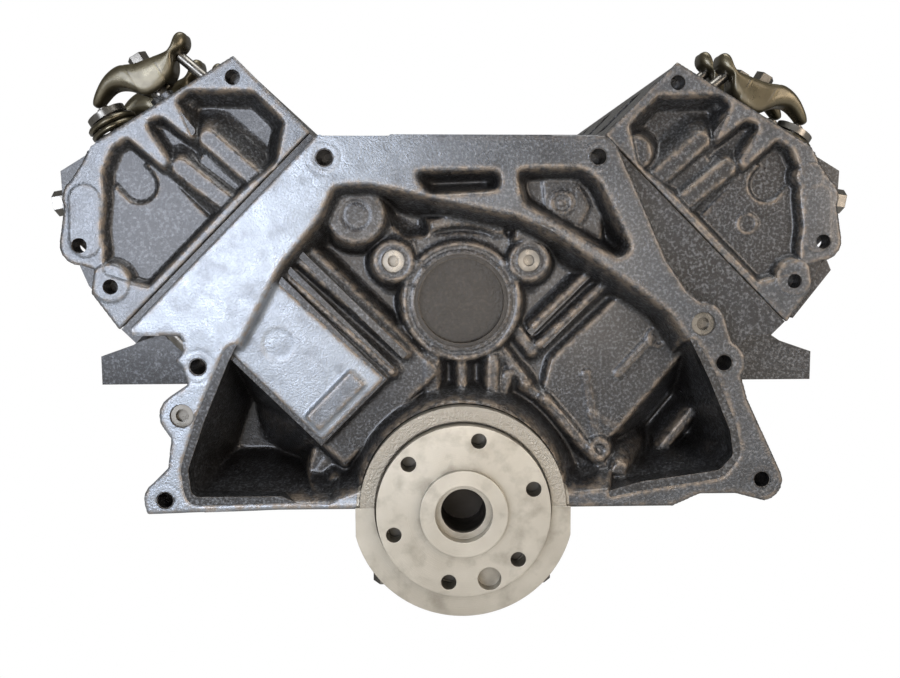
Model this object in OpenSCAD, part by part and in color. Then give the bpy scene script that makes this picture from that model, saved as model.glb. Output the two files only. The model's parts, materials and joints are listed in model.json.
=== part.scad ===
// Ninety-degree pushrod V8 long block, seen and measured from its flywheel end.
// +Z is up, +Y runs to the timing end, +X to the right-hand bank.
// The origin is on the crank axis, in the face that the flywheel seats on.

/* [Cylinders] */
// Cylinder bore diameter
bore_d = 110.7; // [108:0.1:112]
// Distance between neighbouring cylinders of one bank
bore_pitch = 124.5; // [124:0.5:130]
// Crank axis to the deck face, along the bank
deck_height = 262; // [260:0.5:266]
// How far the right bank sits ahead of the left one
bank_stagger = 26; // [25:0.5:28]

/* [Crankshaft] */
// Piston stroke
stroke = 97.8; // [94:0.1:100]
// Main journal diameter
main_journal_d = 76.2; // [72:0.1:80]
// Crankpin diameter
crankpin_d = 63.5; // [60:0.1:66]
// Flywheel flange diameter
flange_d = 123.6; // [121:0.1:126]
// Flywheel flange thickness
flange_t = 14; // [12:0.5:15]
// Flywheel bolt circle diameter
flywheel_pcd = 104; // [102:0.5:106]
// Flywheel bolt hole diameter
flywheel_hole_d = 11; // [9:0.5:12]
// Pilot bore diameter
pilot_bore_d = 32; // [28:0.5:34]
// Counterweight radius
counterweight_r = 79; // [74:0.5:80]

/* [Rods and pistons] */
// Wrist pin diameter
wrist_pin_d = 24.8; // [22:0.1:26]
// Wrist pin centre to piston crown
crown_height = 45.3; // [43:0.1:46]
// Radial clearance of a piston in its bore
piston_clearance = 0.8; // [0.7:0.05:0.9]

/* [Camshaft and valve gear] */
// Crank axis to cam axis
cam_height = 147; // [145:0.5:150]
// Cam lobe base circle radius
lobe_base_r = 20; // [19:0.5:21]
// Lift of a lobe at the lifter
lobe_lift = 7.5; // [5:0.1:7.5]
// Lifter diameter
lifter_d = 22.2; // [20:0.1:23]
// Pushrod diameter
pushrod_d = 7.9; // [7:0.1:9.5]
// Valve stem diameter
stem_d = 8.7; // [8:0.1:9]
// Valve spring outside diameter
spring_d = 37; // [34:0.5:39]
// Width of a rocker
rocker_w = 27; // [24:0.5:30]

/* [Fits] */
// Oil clearance of every journal, pin and stem, on the radius
running_fit = 0.04; // [0.02:0.01:0.08]
// Gap between a lifter foot and its lobe
lobe_gap = 0.3; // [0.25:0.05:0.4]
// Main bearing shell thickness
shell_t = 2.4; // [2:0.1:3]
// Head gasket thickness
gasket_t = 1.5; // [1:0.1:2]

/* [Hidden] */
$fn = 48;
FN_HEX = 6;
RIGHT = 1;
LEFT = -1;
SIDES = [LEFT, RIGHT];
half = sqrt(0.5);
part_gap = 0.1;

// Lengthwise stations, counted from the flywheel face
bell_y = 14;
wall_y = 46;
head_rear_y = 20;
head_overhang = 74;
rear_pin_y = head_rear_y + head_overhang + bank_stagger / 2;
head_l = 3 * bore_pitch + 2 * head_overhang;
block_front_y = main_y(4) + 27;
chain_y = block_front_y + 16;

// Crank sizes
throw = stroke / 2;
// At top dead centre the crown comes level with the deck
rod_length = deck_height - throw - crown_height;
main_r = main_journal_d / 2;
pin_r = crankpin_d / 2;
pin_half = 28;
cheek_t = 18.5;
saddle_r = main_r + running_fit + shell_t;
ring_r = 74;
cap_ring_r = 79.5;
cap_half = 77;
rear_cap_end_y = 60;
ring_face_y = 9;
hub_r = 31;
hub_h = 6;
snout_r = 17.5;
sprocket_seat_r = snout_r + 0.5;
sprocket_hub_half = 9;
// Depth of the register that each main cap sits in, and its half length
cap_seat = 1;
cap_half_l = 13;
cap_w = 144;
snout_end_y = block_front_y + 68;
// Angle of each crankpin at rest, seen from the rear, front pin first
PIN_ANGLES = [90, 180, 0, 270];
swing = 15;

// Cylinder sizes
bore_r = bore_d / 2;
piston_r = bore_r - piston_clearance;
wrist_r = wrist_pin_d / 2;
rod_w = 24.4;
rod_shell_t = 1.6;
skirt_l = 30;
bore_bottom = rod_length - throw - skirt_l - 3;
// Foot of the wall that closes a rear cylinder's end
end_wall_b = 103;
crankcase_r = 108;
crankcase_wall = 7;
bulkhead_half = 14;
deck_in = -113;
deck_out = 79;
jacket_a = 68;

// Valve gear, in bank coordinates: a is outboard, b is along the bank
rail_slope = 14;
rail_in_b = deck_height + gasket_t + 71.5;
head_b = deck_height + gasket_t;
lifter_a = -cam_height * half;
cam_b = cam_height * half;
lifter_l = 46;
valve_split = 26;
pivot = [-60, deck_height + 124];
EX_SHIFT = [8, -7];
push_arm = 27;
valve_arm = 42;
bowl_r = 12;
tip_drop = 4;
lobe_half_angle = 67.5;
rocker_floor = 24;

// Timing set
chain_pitch = 9.525;
crank_teeth = 19;
roller_r = 2.9;
sprocket_t = 9;
crank_pitch_r = chain_pitch / 2 / sin(180 / crank_teeth);
cam_pitch_r = chain_pitch / 2 / sin(90 / crank_teeth);
tunnel_r = 30;

RED_IRON = "#3b3e42";
MACHINED = "#b9b2a4";
STEEL = "#8d8a84";
OLIVE = "#8a7c5c";
BRASS = "#a08a55";

EXHAUST_OPEN = [3, 7, 8];
INTAKE_OPEN = [2, 4, 6];
STATIC_NODES = [
    "engine_block", "cylinder_head_left", "cylinder_head_right", "head_gaskets", "head_bolts",
    "main_bearing_caps", "rear_main_cap", "main_cap_bolts", "main_bearing_shells",
    "rear_main_seal", "cam_bearings", "cam_plug", "block_plugs", "rocker_fulcrums",
    "valve_springs", "closed_rockers", "closed_valves", "closed_pushrods"
];
TIMING_NODES = [
    "crankshaft", "crank_sprocket", "chain_on_crank", "camshaft", "cam_sprocket", "chain_on_cam",
    "chain_run_left", "chain_run_right"
];

// ---- places ----

// Middle of main bearing j, 0 at the flywheel end
function main_y(j) = rear_pin_y + (j - 0.5) * bore_pitch;
// Bank of a cylinder: 1 to 4 are on the right, 5 to 8 on the left, each from the front
function side_of(n) = n <= 4 ? RIGHT : LEFT;
function pin_of(n) = n <= 4 ? n : n - 4;
function pin_y(i) = rear_pin_y + (4 - i) * bore_pitch;
function bore_y(n) = pin_y(pin_of(n)) + side_of(n) * bank_stagger / 2;
function head_y(side) = head_rear_y + (side == RIGHT ? bank_stagger : 0);
// Direction of a bank, as an angle seen from the rear
function bank_angle(side) = side == RIGHT ? 45 : 135;
function valve_y(n, exhaust) = bore_y(n) + (exhaust ? -1 : 1) * side_of(n) * valve_split;
// A point in the cross-section from its bank coordinates
function from_bank(a, b) = [(a + b) * half, (b - a) * half];
function mirrored(points) = [for (p = points) [-p[0], p[1]]];
function reversed(points) = [for (i = [len(points) - 1:-1:0]) points[i]];
// An arc from angle a0 to a1 about a centre
function arc(centre, r, a0, a1, steps = 8) = [
    for (i = [0:steps]) centre + r * [cos(a0 + (a1 - a0) * i / steps), sin(a0 + (a1 - a0) * i / steps)]
];

// ---- crank linkage ----

// Crank angle past top centre of cylinder n
function crank_angle(n) = PIN_ANGLES[pin_of(n) - 1] - bank_angle(side_of(n));
// Half of what the wrist pin strays sideways over the swing, held back at rest
function stray(n) = sign(sin(crank_angle(n))) * throw * half * pow(swing * PI / 180, 2) * 0.239;
function rod_lean(n) = asin((throw * sin(crank_angle(n)) - stray(n)) / rod_length);
function wrist_height(n) = throw * cos(crank_angle(n)) + rod_length * cos(rod_lean(n));

// ---- cam timing ----

FIRING_ORDER = [1, 5, 4, 2, 6, 3, 7, 8];
INTAKE_CENTRE = 468;
EXHAUST_CENTRE = 247;
function wrap(angle) = angle - 360 * round(angle / 360);
function cycle_angle(n) = 45 - 90 * search(n, FIRING_ORDER)[0];
// Cam angle from the lifter back to the lobe's nose
function lobe_offset(n, exhaust) = wrap((cycle_angle(n) - (exhaust ? EXHAUST_CENTRE : INTAKE_CENTRE)) / 2);
function lift_at(angle) =
    abs(angle) < lobe_half_angle ? lobe_lift / 2 * (1 + cos(angle * 180 / lobe_half_angle)) : 0;
function lift_slope(angle) =
    abs(angle) < lobe_half_angle ? -lobe_lift * 90 / lobe_half_angle * sin(angle * 180 / lobe_half_angle) : 0;
function lift(n, exhaust) = lift_at(lobe_offset(n, exhaust));
function rocker_tilt(n, exhaust) = lift(n, exhaust) * cos(rail_slope) / push_arm * 180 / PI;
function valve_drop(n, exhaust) = valve_arm * sin(rocker_tilt(n, exhaust));
function pivot_of(exhaust) = pivot + (exhaust ? EX_SHIFT : [0, 0]);
function is_open(n, exhaust) = lift(n, exhaust) > 0;

// ---- shared shapes ----

// A cross-section carried from y0 to y1
module slab(y0, y1) {
    translate([0, y1, 0]) rotate([90, 0, 0]) linear_extrude(y1 - y0) children();
}

// A cylinder along Y
module rod_y(r, y0, y1) {
    translate([0, y1, 0]) rotate([90, 0, 0]) cylinder(r = r, h = y1 - y0);
}

// Draw in the coordinates of one bank
module bank(side) {
    mirror([side == LEFT ? 1 : 0, 0, 0]) rotate([0, 45, 0]) children();
}

// Draw in the frame of a head's cover rail, at its inner edge
module rail_frame() {
    translate([deck_in, 0, rail_in_b]) rotate([0, -rail_slope, 0]) children();
}

// Draw at the rocker pivot of a valve, along the cover rail
module rocker_frame(n, exhaust) {
    p = pivot_of(exhaust);
    bank(side_of(n)) translate([p[0], valve_y(n, exhaust), p[1]]) rotate([0, -rail_slope, 0]) children();
}

module rounded(r) {
    offset(r = -r, $fn = 24) offset(r = 2 * r, $fn = 24) offset(r = -r, $fn = 24) children();
}

module hex_head(across, h) {
    cylinder(d = across / cos(30), h = h, $fn = FN_HEX);
}

// ---- engine block ----

// Right half of the block's long section, from the valley floor round to the crank axis
BODY_HALF = [
    [0, cam_height + 28],
    from_bank(-118, cam_b + 30),
    from_bank(-118, cam_b + 72),
    from_bank(-88, cam_b + 72),
    from_bank(-72, cam_b + 60),
    from_bank(-72, deck_height - 26),
    from_bank(deck_in, deck_height - 14),
    from_bank(deck_in, deck_height),
    from_bank(deck_out, deck_height),
    from_bank(deck_out, deck_height - 14),
    from_bank(jacket_a, deck_height - 26),
    from_bank(jacket_a, 104),
    [126, 14],
    [150, 12],
    [150, 0]
];

// Edge of the bell housing face, left side first
BELL_EDGE = concat(
    [[-132, 0], [-225, -2]],
    arc([-213, 7], 14, 200, 120, 4),
    [[-209, 30], [-206, 52]],
    arc([-199, 68], 15, 220, 120, 5),
    [[-193, 90], [-197, 104]],
    arc([-207, 118], 12, 300, 400, 4),
    mirrored([from_bank(deck_out - 2, deck_height - 6), from_bank(deck_in + 2, deck_height - 6)]),
    arc([-95, 248], 15, 120, 90, 2),
    arc([95, 248], 14, 90, 20, 4),
    [[127, 212], [143, 176], [158, 154]],
    arc([171, 131], 15, 100, 10, 5),
    [[191, 118]],
    arc([187, 103], 14, 40, -40, 4),
    [[203, 76], [229, 22]],
    arc([216, 17], 14, 20, -80, 5),
    [[197, 9], [171, 9], [151, 0], [132, 0]]
);

// Hollow inside the bell housing face, from the left foot of the seal ring round to the right foot
BELL_HOLLOW = [
    [-60, 3], [-117, 3], [-130, 9], [-194, 9], [-196, 29], [-183, 65], [-164, 109], [-127, 176],
    [-113, 192], [-100, 208], [-90, 230], [-64, 231], [-15, 220], [40, 208], [69, 194], [111, 166],
    [147, 141], [163, 118], [176, 92], [192, 54], [195, 36], [185, 25], [128, 17], [107, 11], [60, 8]
];

// The deep corners beside the rear cylinders, outside the wall round the crank
module bell_pockets() difference() {
    deep_corners();
    circle(crankcase_r + crankcase_wall, $fn = 96);
}

module deep_corners() {
    rounded(4) polygon([[-190, 12], [-192, 29], [-180, 65], [-160, 110], [-108, 44], [-78, 14]]);
    rounded(4) polygon([
        [100, 14], [128, 20], [183, 28], [191, 38], [188, 54], [172, 92], [160, 112], [108, 44]
    ]);
}

module bell_windows() {
    rounded(5) polygon([[-38, 240], [28, 240], [28, 224], [-24, 221]]);
    rounded(5) polygon([[36, 241], [84, 241], [97, 232], [121, 184], [111, 175], [42, 216]]);
}

// Valley wall of the right bank, from the middle outwards
VALLEY_SIDE = [for (i = [1:6]) BODY_HALF[i]];

module bell_face() {
    slab(bell_y, wall_y + 1) difference() {
        polygon(BELL_EDGE);
        rounded(6) polygon(BELL_HOLLOW);
        bell_windows();
    }
    // apron behind the face, open to the valley and deep in its lower corners
    slab(wall_y, 94) difference() {
        offset(delta = -5) polygon(BELL_EDGE);
        polygon(concat([[-150, 300]], mirrored(reversed(VALLEY_SIDE)), VALLEY_SIDE, [[150, 300]]));
    }
    // raised ring of the cylinder end, diagonal ribs and the casting bar
    bank(RIGHT) for (a = [-54, -41]) translate([a, wall_y - 8, 122]) cube([5, 10, 92]);
    bank(LEFT) for (a = [-50, -36]) translate([a, bell_y + 12, 105]) cube([5, 9, 108]);
    bank(LEFT) translate([-12, bell_y + 6, 113]) cube([44, 4, 12]);
}

module rear_wall() {
    // bulkhead between the banks, from the crank to the valley
    slab(wall_y + 4, 62) polygon([
        [-118, 3], [-78, 90], [-70, 128], [-104, 215], [-100, 246], [100, 246], [104, 215],
        [70, 128], [78, 90], [118, 3]
    ]);
    slab(40, 58) polygon([[-102, 225], [-104, 259], [104, 259], [102, 225]]);
    // seal ring, upper half
    slab(ring_face_y, 60) intersection() {
        circle(ring_r, $fn = 96);
        translate([-ring_r, 0]) square([2 * ring_r, ring_r]);
    }
    slab(bell_y, 60) polygon([[-100, 0], [-92, 6], [-70, 14], [70, 14], [82, 9], [100, 0]]);
    // cam plug ring, gallery bosses and the round pad
    translate([0, 0, cam_height]) {
        rod_y(43, 34, 62);
        for (x = [-49, 49]) translate([x, 0, 29]) rod_y(14.5, 32, 62);
        slab(38, 62) polygon([[-49, 43], [0, 48], [49, 43], [49, 16], [-49, 16]]);
    }
    translate([-75, 0, 209]) rod_y(20, 28, 62);
    translate([70, 0, 217]) rod_y(9.5, 30, 62);
    translate([70, 0, 217]) slab(32, 62) square([60, 50], center = true);
}

module mount_pad(side) {
    mirror([side == LEFT ? 1 : 0, 0, 0]) {
        slab(112, 208) polygon([
            [170, 76], [288, 76], [288, 99], [262, 108], [232, 128], [180, 120]
        ]);
    }
}

module block_solid() {
    slab(wall_y, block_front_y) polygon(concat(BODY_HALF, mirrored(reversed(BODY_HALF))));
    // the left deck runs further back than the right one
    bank(LEFT) translate([deck_in + part_gap, head_rear_y, deck_height - 14 - part_gap]) {
        cube([deck_out - deck_in - 2 * part_gap, wall_y - head_rear_y + 1, 14]);
    }
    // end wall of the rearmost cylinder, which the stagger brings close to the bell housing
    bank(LEFT) translate([-27, bell_y + 8, end_wall_b]) {
        cube([68, wall_y - bell_y - 7, deck_height - end_wall_b - 2]);
    }
    bank(LEFT) translate([-56, bell_y + 19, bore_bottom - 6]) {
        cube([98, wall_y - bell_y - 18, deck_height - bore_bottom + 4]);
    }
    bell_face();
    rear_wall();
    for (side = SIDES) {
        mount_pad(side);
        // vertical ribs on the crankcase wall
        for (j = [1:3]) mirror([side == LEFT ? 1 : 0, 0, 0]) translate([0, main_y(j), 0]) {
            slab(-4, 4) polygon([[118, 2], [148, 8], [148, 14], [136, 42], [118, 26]]);
        }
        // round ends of the water jacket show along the bank's outer wall
        for (i = [0:3]) bank(side) translate([jacket_a - 22, bore_y(side == RIGHT ? 4 - i : 8 - i), 112]) {
            cylinder(r = 30, h = deck_height - 140);
        }
    }
    // valley front wall and timing face
    slab(block_front_y - 16, block_front_y) polygon([
        [-104, 259], [104, 259], [118, 216], [150, 120], [126, 14], [150, 12], [150, 0],
        [-150, 0], [-150, 12], [-126, 14], [-150, 120], [-118, 216]
    ]);
}

module engine_block() {
    color(RED_IRON) difference() {
        block_solid();
        slab(bell_y + 10, 86) bell_pockets();
        block_bores();
        block_holes();
    }
}

// Everything that turns or slides in the block
module block_bores() {
    for (n = [1:8]) bank(side_of(n)) translate([0, bore_y(n), bore_bottom]) {
        cylinder(r = bore_r, h = deck_height, $fn = 96);
    }
    // crankcase bays
    for (i = [1:4]) translate([0, pin_y(i), 0]) {
        rod_y(crankcase_r, bulkhead_half - bore_pitch / 2, bore_pitch / 2 - bulkhead_half);
    }
    rod_y(saddle_r, 26, block_front_y + 1);
    // registers that the main caps sit in
    for (j = [1:4]) translate([-cap_w / 2 - 0.5, main_y(j) - cap_half_l - 0.5, -1]) {
        cube([cap_w + 1, 2 * cap_half_l + 1, 1 + cap_seat]);
    }
    translate([-cap_half - 0.5, 0, -1]) cube([2 * cap_half + 1, rear_cap_end_y + 0.5, 1 + cap_seat]);
    // seal housing and the recess that the flange turns in
    rod_y(57, 16, 28);
    rod_y(flange_d / 2 + 1.6, ring_face_y - 1, 17);
    translate([0, 0, cam_height]) {
        rod_y(tunnel_r, 44, block_front_y + 1);
        rod_y(34, 30, 44);
    }
    for (n = [1:8], ex = [false, true]) bank(side_of(n)) translate([0, valve_y(n, ex), 0]) {
        translate([lifter_a, 0, cam_b]) cylinder(r = lifter_d / 2 + running_fit, h = 90);
        translate([lifter_a + 10, 0, deck_height - 50]) cylinder(r = 9.5, h = 60);
    }
    // the right bank's rear end is set back behind its deck
    bank(LEFT) translate([-60, head_y(LEFT) + head_l + 3, 150]) cube([150, 60, 130]);
}

// Threaded and plugged holes
module block_holes() {
    // bell housing bolt holes and dowel holes
    for (p = BELL_HOLES) translate([p[0], 0, p[1]]) rod_y(bell_hole_r, bell_y - 1, wall_y);
    for (p = [[-199, 68], [171, 131]]) translate([p[0], 0, p[1]]) rod_y(8.2, bell_y - 1, 26);
    for (x = [-49, 49]) translate([x, 0, cam_height + 29]) rod_y(8.2, 30, 44);
    // main cap bolts
    for (j = [0:4], x = [-1, 1]) translate([x * cap_bolt_x, main_y(j), -1]) cylinder(r = 6.5, h = 56);
    // head bolts
    for (side = SIDES, i = [0:4], a = HEAD_BOLT_A) bank(side) {
        translate([a, head_bolt_y(side, i), deck_height - 45]) cylinder(r = 6.5, h = 50);
    }
    // core plugs in the outer walls and water ways in the front
    for (side = SIDES, i = [0:2]) bank(side) {
        translate([jacket_a - 8, core_plug_y(side, i), 178]) rotate([0, 90, 0]) cylinder(r = 20, h = 40);
    }
    // engine mount bolt holes
    for (side = SIDES, y = MOUNT_Y) translate([side * 289, y, MOUNT_Z]) {
        rotate([0, -90 * side, 0]) cylinder(r = 5.2, h = 32);
    }
    // oil pan rail holes
    for (side = SIDES, i = [0:6]) translate([side * 139, 108 + i * 70, -1]) cylinder(r = 4, h = 22);
}

BELL_HOLES = [[-95, 248], [95, 248], [-186.5, 103], [186.5, 103], [-213, 7], [216, 18]];
bell_hole_r = 5.6;
HEAD_BOLT_A = [-57, 62];
MOUNT_Y = [130, 190];
MOUNT_Z = 87;
cap_bolt_x = 56;
end_bolt_inset = 17;
function head_bolt_y(side, i) = bore_y(side == RIGHT ? 4 : 8) + (i - 0.5) * bore_pitch
    + (i == 0 ? end_bolt_inset : i == 4 ? -end_bolt_inset : 0);
function core_plug_y(side, i) = head_bolt_y(side, i + 1);

// ---- cylinder heads ----

HEAD_SECTION = [
    [deck_in, head_b], [deck_in, rail_in_b], [30, rail_in_b + 35.7], [48, head_b + 88],
    [64, head_b + 66], [76, head_b + 38], [deck_out, head_b]
];
// Rim of the head's end face
HEAD_END = concat(
    [[deck_in, head_b], [deck_in, rail_in_b], [0, rail_in_b + 28.2], [12, rail_in_b + 24]],
    arc([30, head_b + 79], 14, 100, 20, 4),
    arc([56, head_b + 59], 13, 60, -50, 5),
    [[60, head_b + 40], [74, head_b + 30], [deck_out, head_b]]
);
// Pocket in the end face, with two teeth below the rail
HEAD_POCKET = [
    [-84, head_b + 1], [-107, head_b + 17], [-107, head_b + 46], [-74, head_b + 80],
    [-62, head_b + 80], [-59, head_b + 55], [-53, head_b + 55], [-50, head_b + 80],
    [-41, head_b + 85], [-36, head_b + 82], [-30, head_b + 55], [-25, head_b + 55],
    [-23, head_b + 87], [-10, head_b + 90], [8, head_b + 83], [20, head_b + 70],
    [38, head_b + 56], [46, head_b + 46], [60, head_b + 34], [50, head_b + 14], [44, head_b + 4],
    [-50, head_b + 4]
];
HEAD_WELL = [
    [-80, head_b + 6], [-102, head_b + 19], [-102, head_b + 44], [-73, head_b + 74], [-66, head_b + 72],
    [-56, head_b + 46], [-64, head_b + 8]
];

module head_body(side) {
    y0 = head_y(side);
    bank(side) {
        slab(y0 + 13, y0 + head_l - 13) polygon(HEAD_SECTION);
        for (y = [y0, y0 + head_l - 14]) slab(y, y + 14) polygon(HEAD_END);
        // exhaust port flanges
        for (n = [side == RIGHT ? 1 : 5:side == RIGHT ? 4 : 8]) translate([0, valve_y(n, true), 0]) {
            slab(-22, 22) {
                polygon([[60, head_b + 12], [90, head_b + 10], [84, head_b + 56], [58, head_b + 66]]);
            }
        }
    }
}

module cylinder_head(side) {
    y0 = head_y(side);
    cylinders = side == RIGHT ? [1:4] : [5:8];
    difference() {
        union() {
            difference() {
                head_body(side);
                bank(side) {
                    // pockets of the two end faces
                    slab(y0 - 1, y0 + 10) rounded(3) polygon(HEAD_POCKET);
                    slab(y0, y0 + 16) rounded(4) polygon(HEAD_WELL);
                    slab(y0 + head_l - 10, y0 + head_l + 1) rounded(3) polygon(HEAD_POCKET);
                    // rocker chamber inside the cover rail
                    rail_frame() translate([11, y0 + 17, -rocker_floor]) {
                        cube([124, head_l - 34, rocker_floor + 1]);
                    }
                }
            }
            bank(side) {
                // twin ribs of the end face
                for (p = [[-61, -3], [-33, -5]]) translate([p[0], y0 + 10, head_b + 5]) {
                    rotate([0, p[1] / 2, 0]) cylinder(r = 7.5, h = 42);
                }
                // rocker pedestals and spring seats
                for (n = cylinders, ex = [false, true]) translate([0, valve_y(n, ex), 0]) {
                    head_pedestal(ex);
                }
            }
        }
        bank(side) for (n = cylinders) head_cylinder_cuts(n);
        bank(side) {
            for (i = [0:4], a = HEAD_BOLT_A) translate([a, head_bolt_y(side, i), head_b - 1]) {
                cylinder(r = 6.8, h = 140);
                translate([0, 0, bolt_seat(a) - head_b + 1]) cylinder(r = 13, h = 80);
            }
            // tapped holes of the end faces
            for (p = END_HOLES, y = [y0, y0 + head_l]) translate([p[0], 0, p[1]]) rod_y(5.2, y - 16, y + 16);
            for (y = PLUG_Y) translate([44, y0 + y, head_b + 93]) rotate([0, 55, 0]) {
                translate([0, 0, -22]) cylinder(r = 7, h = 40);
            }
            // intake manifold bolt holes
            for (i = [0:4], b = [head_b + 14, head_b + 56]) {
                translate([deck_in - 1, head_bolt_y(side, i), b]) rotate([0, 90, 0]) {
                    cylinder(r = 4.4, h = 22);
                }
            }
            // cover rail holes
            rail_frame() for (i = [0:3], x = [5, 141]) {
                translate([x, y0 + 40 + i * (head_l - 80) / 3, -14]) cylinder(r = 3.3, h = 20);
            }
        }
    }
}

END_HOLES = [[-103, rail_in_b - 9], [62, head_b + 24], [56, head_b + 59]];
PLUG_Y = [36, head_l - 36];
// Height at which a head bolt's washer sits
function bolt_seat(a) = a < 0 ? head_b + 62 : head_b + 40;

module head_pedestal(ex) {
    p = pivot_of(ex);
    translate([p[0], 0, p[1]]) rotate([0, -rail_slope, 0]) {
        translate([0, 0, -70]) cylinder(r = 9, h = 49);
        translate([valve_arm, 0, -70]) cylinder(r = 22, h = 70 - spring_seat_drop);
    }
}

// Distance of the spring seat below the pivot, square to the rail
spring_seat_drop = 46;

module head_cylinder_cuts(n) {
    y = bore_y(n);
    // combustion chamber
    translate([2, y, head_b - 1]) cylinder(r1 = 47, r2 = 36, h = 14);
    for (ex = [false, true]) translate([0, valve_y(n, ex), 0]) {
        p = pivot_of(ex);
        // pushrod passage and fulcrum bolt
        translate([lifter_a + (p[0] - lifter_a) * 0.24, 0, 0]) translate([0, 0, head_b - 2]) {
            rotate([0, 4.6, 0]) cylinder(r = 8, h = 110);
        }
        translate([p[0], 0, p[1]]) rotate([0, -rail_slope, 0]) {
            translate([0, 0, -60]) cylinder(r = 4.2, h = 50);
            // guide, throat and seat
            translate([valve_arm, 0, -150]) cylinder(r = stem_d / 2 + running_fit, h = 120);
            translate([valve_arm, 0, -seat_drop - 26]) cylinder(r = ex ? 18 : 21.5, h = 42);
            translate([valve_arm, 0, -seat_drop - 26]) cylinder(r = valve_r(ex) + 1.5, h = 26.5);
        }
        // ports
        if (ex) {
            translate([30, 0, head_b + 32]) rotate([0, 84, 0]) cylinder(r = 17, h = 80);
        } else {
            translate([deck_in - 1, -19, head_b + 18]) cube([96, 38, 42]);
        }
    }
}

// Distance of a valve seat below the pivot, square to the rail
seat_drop = 104;
function valve_r(ex) = ex ? 21 : 26;

module cylinder_head_left() {
    color(RED_IRON) cylinder_head(LEFT);
}

module cylinder_head_right() {
    color(RED_IRON) cylinder_head(RIGHT);
}

module head_gaskets() {
    color(BRASS) for (side = SIDES) bank(side) difference() {
        translate([-100, head_y(side) + 4, deck_height + part_gap / 2]) {
            cube([deck_out + 98, head_l - 8, gasket_t - part_gap]);
        }
        for (n = side == RIGHT ? [1:4] : [5:8]) translate([0, bore_y(n), deck_height - 1]) {
            cylinder(r = bore_r + 1, h = 4, $fn = 96);
        }
        for (i = [0:4], a = HEAD_BOLT_A) {
            translate([a, head_bolt_y(side, i), deck_height - 1]) cylinder(r = 7, h = 4);
        }
        for (n = side == RIGHT ? [1:4] : [5:8], ex = [false, true]) {
            translate([lifter_a + 10, valve_y(n, ex), deck_height - 1]) cylinder(r = 9.5, h = 4);
        }
    }
}

module head_bolts() {
    color(STEEL) for (side = SIDES, i = [0:4], a = HEAD_BOLT_A) bank(side) {
        translate([a, head_bolt_y(side, i), 0]) {
            translate([0, 0, deck_height - 42]) cylinder(r = 6.35, h = bolt_seat(a) - deck_height + 43);
            translate([0, 0, bolt_seat(a) + 0.05]) cylinder(r = 11.5, h = 3);
            translate([0, 0, bolt_seat(a) + 3]) hex_head(19, 10);
        }
    }
}

// ---- crank bearings and caps ----

module cap_bolt_holes(y) {
    for (x = [-1, 1]) translate([x * cap_bolt_x, y, -120]) cylinder(r = 6.8, h = 130);
}

module main_bearing_caps() {
    color(RED_IRON) for (j = [1:4]) difference() {
        slab(main_y(j) - cap_half_l, main_y(j) + cap_half_l) polygon(concat(
            [[-cap_w / 2, cap_seat - part_gap], [-cap_w / 2, -47], [-40, -47]],
            arc([0, 0], 60, 238, 302, 8),
            [[40, -47], [cap_w / 2, -47], [cap_w / 2, cap_seat - part_gap]]
        ));
        rod_y(saddle_r, main_y(j) - 20, main_y(j) + 20);
        cap_bolt_holes(main_y(j));
    }
}

module rear_main_cap() {
    color(MACHINED) difference() {
        slab(ring_face_y, rear_cap_end_y) intersection() {
            circle(cap_ring_r, $fn = 96);
            translate([-cap_half, -cap_ring_r]) square([2 * cap_half, cap_ring_r + cap_seat - part_gap]);
        }
        rod_y(flange_d / 2 + 1.6, ring_face_y - 1, 17);
        rod_y(57, 16, 28);
        rod_y(saddle_r, 26, 61);
        cap_bolt_holes(main_y(0));
        for (x = [-1, 1]) translate([x * cap_bolt_x, main_y(0), -121]) cylinder(r = 14, h = 121 - 50);
    }
}

module main_cap_bolts() {
    color(STEEL) for (j = [0:4], x = [-1, 1]) translate([x * cap_bolt_x, main_y(j), 0]) {
        seat = j == 0 ? 50 : 47;
        translate([0, 0, -seat - 4]) cylinder(r = 6.35, h = seat + 52);
        translate([0, 0, -seat - 15]) hex_head(19, 11);
        translate([0, 0, -seat - 4]) cylinder(r = 11.5, h = 3.9);
    }
}

module main_bearing_shells() {
    color(BRASS) for (j = [0:4]) difference() {
        rod_y(saddle_r - 0.02, main_y(j) - 12, main_y(j) + 12);
        rod_y(main_r + running_fit, main_y(j) - 13, main_y(j) + 13);
        translate([-60, main_y(j) - 13, -part_gap]) cube([120, 26, 2 * part_gap]);
    }
}

module rear_main_seal() {
    color("#2b2a28") difference() {
        rod_y(57 - part_gap, 18, 27);
        rod_y(46 + part_gap, 17, 28);
    }
}

// ---- crankshaft ----

module crank_web() {
    circle(47, $fn = 64);
    translate([throw, 0]) circle(40, $fn = 64);
    polygon([[0, 47], [throw, 40], [throw, -40], [0, -47]]);
    intersection() {
        circle(counterweight_r, $fn = 96);
        polygon([[16, 30], [16, -30], [-30, -90], [-90, -90], [-90, 90], [-30, 90]]);
    }
}

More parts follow.
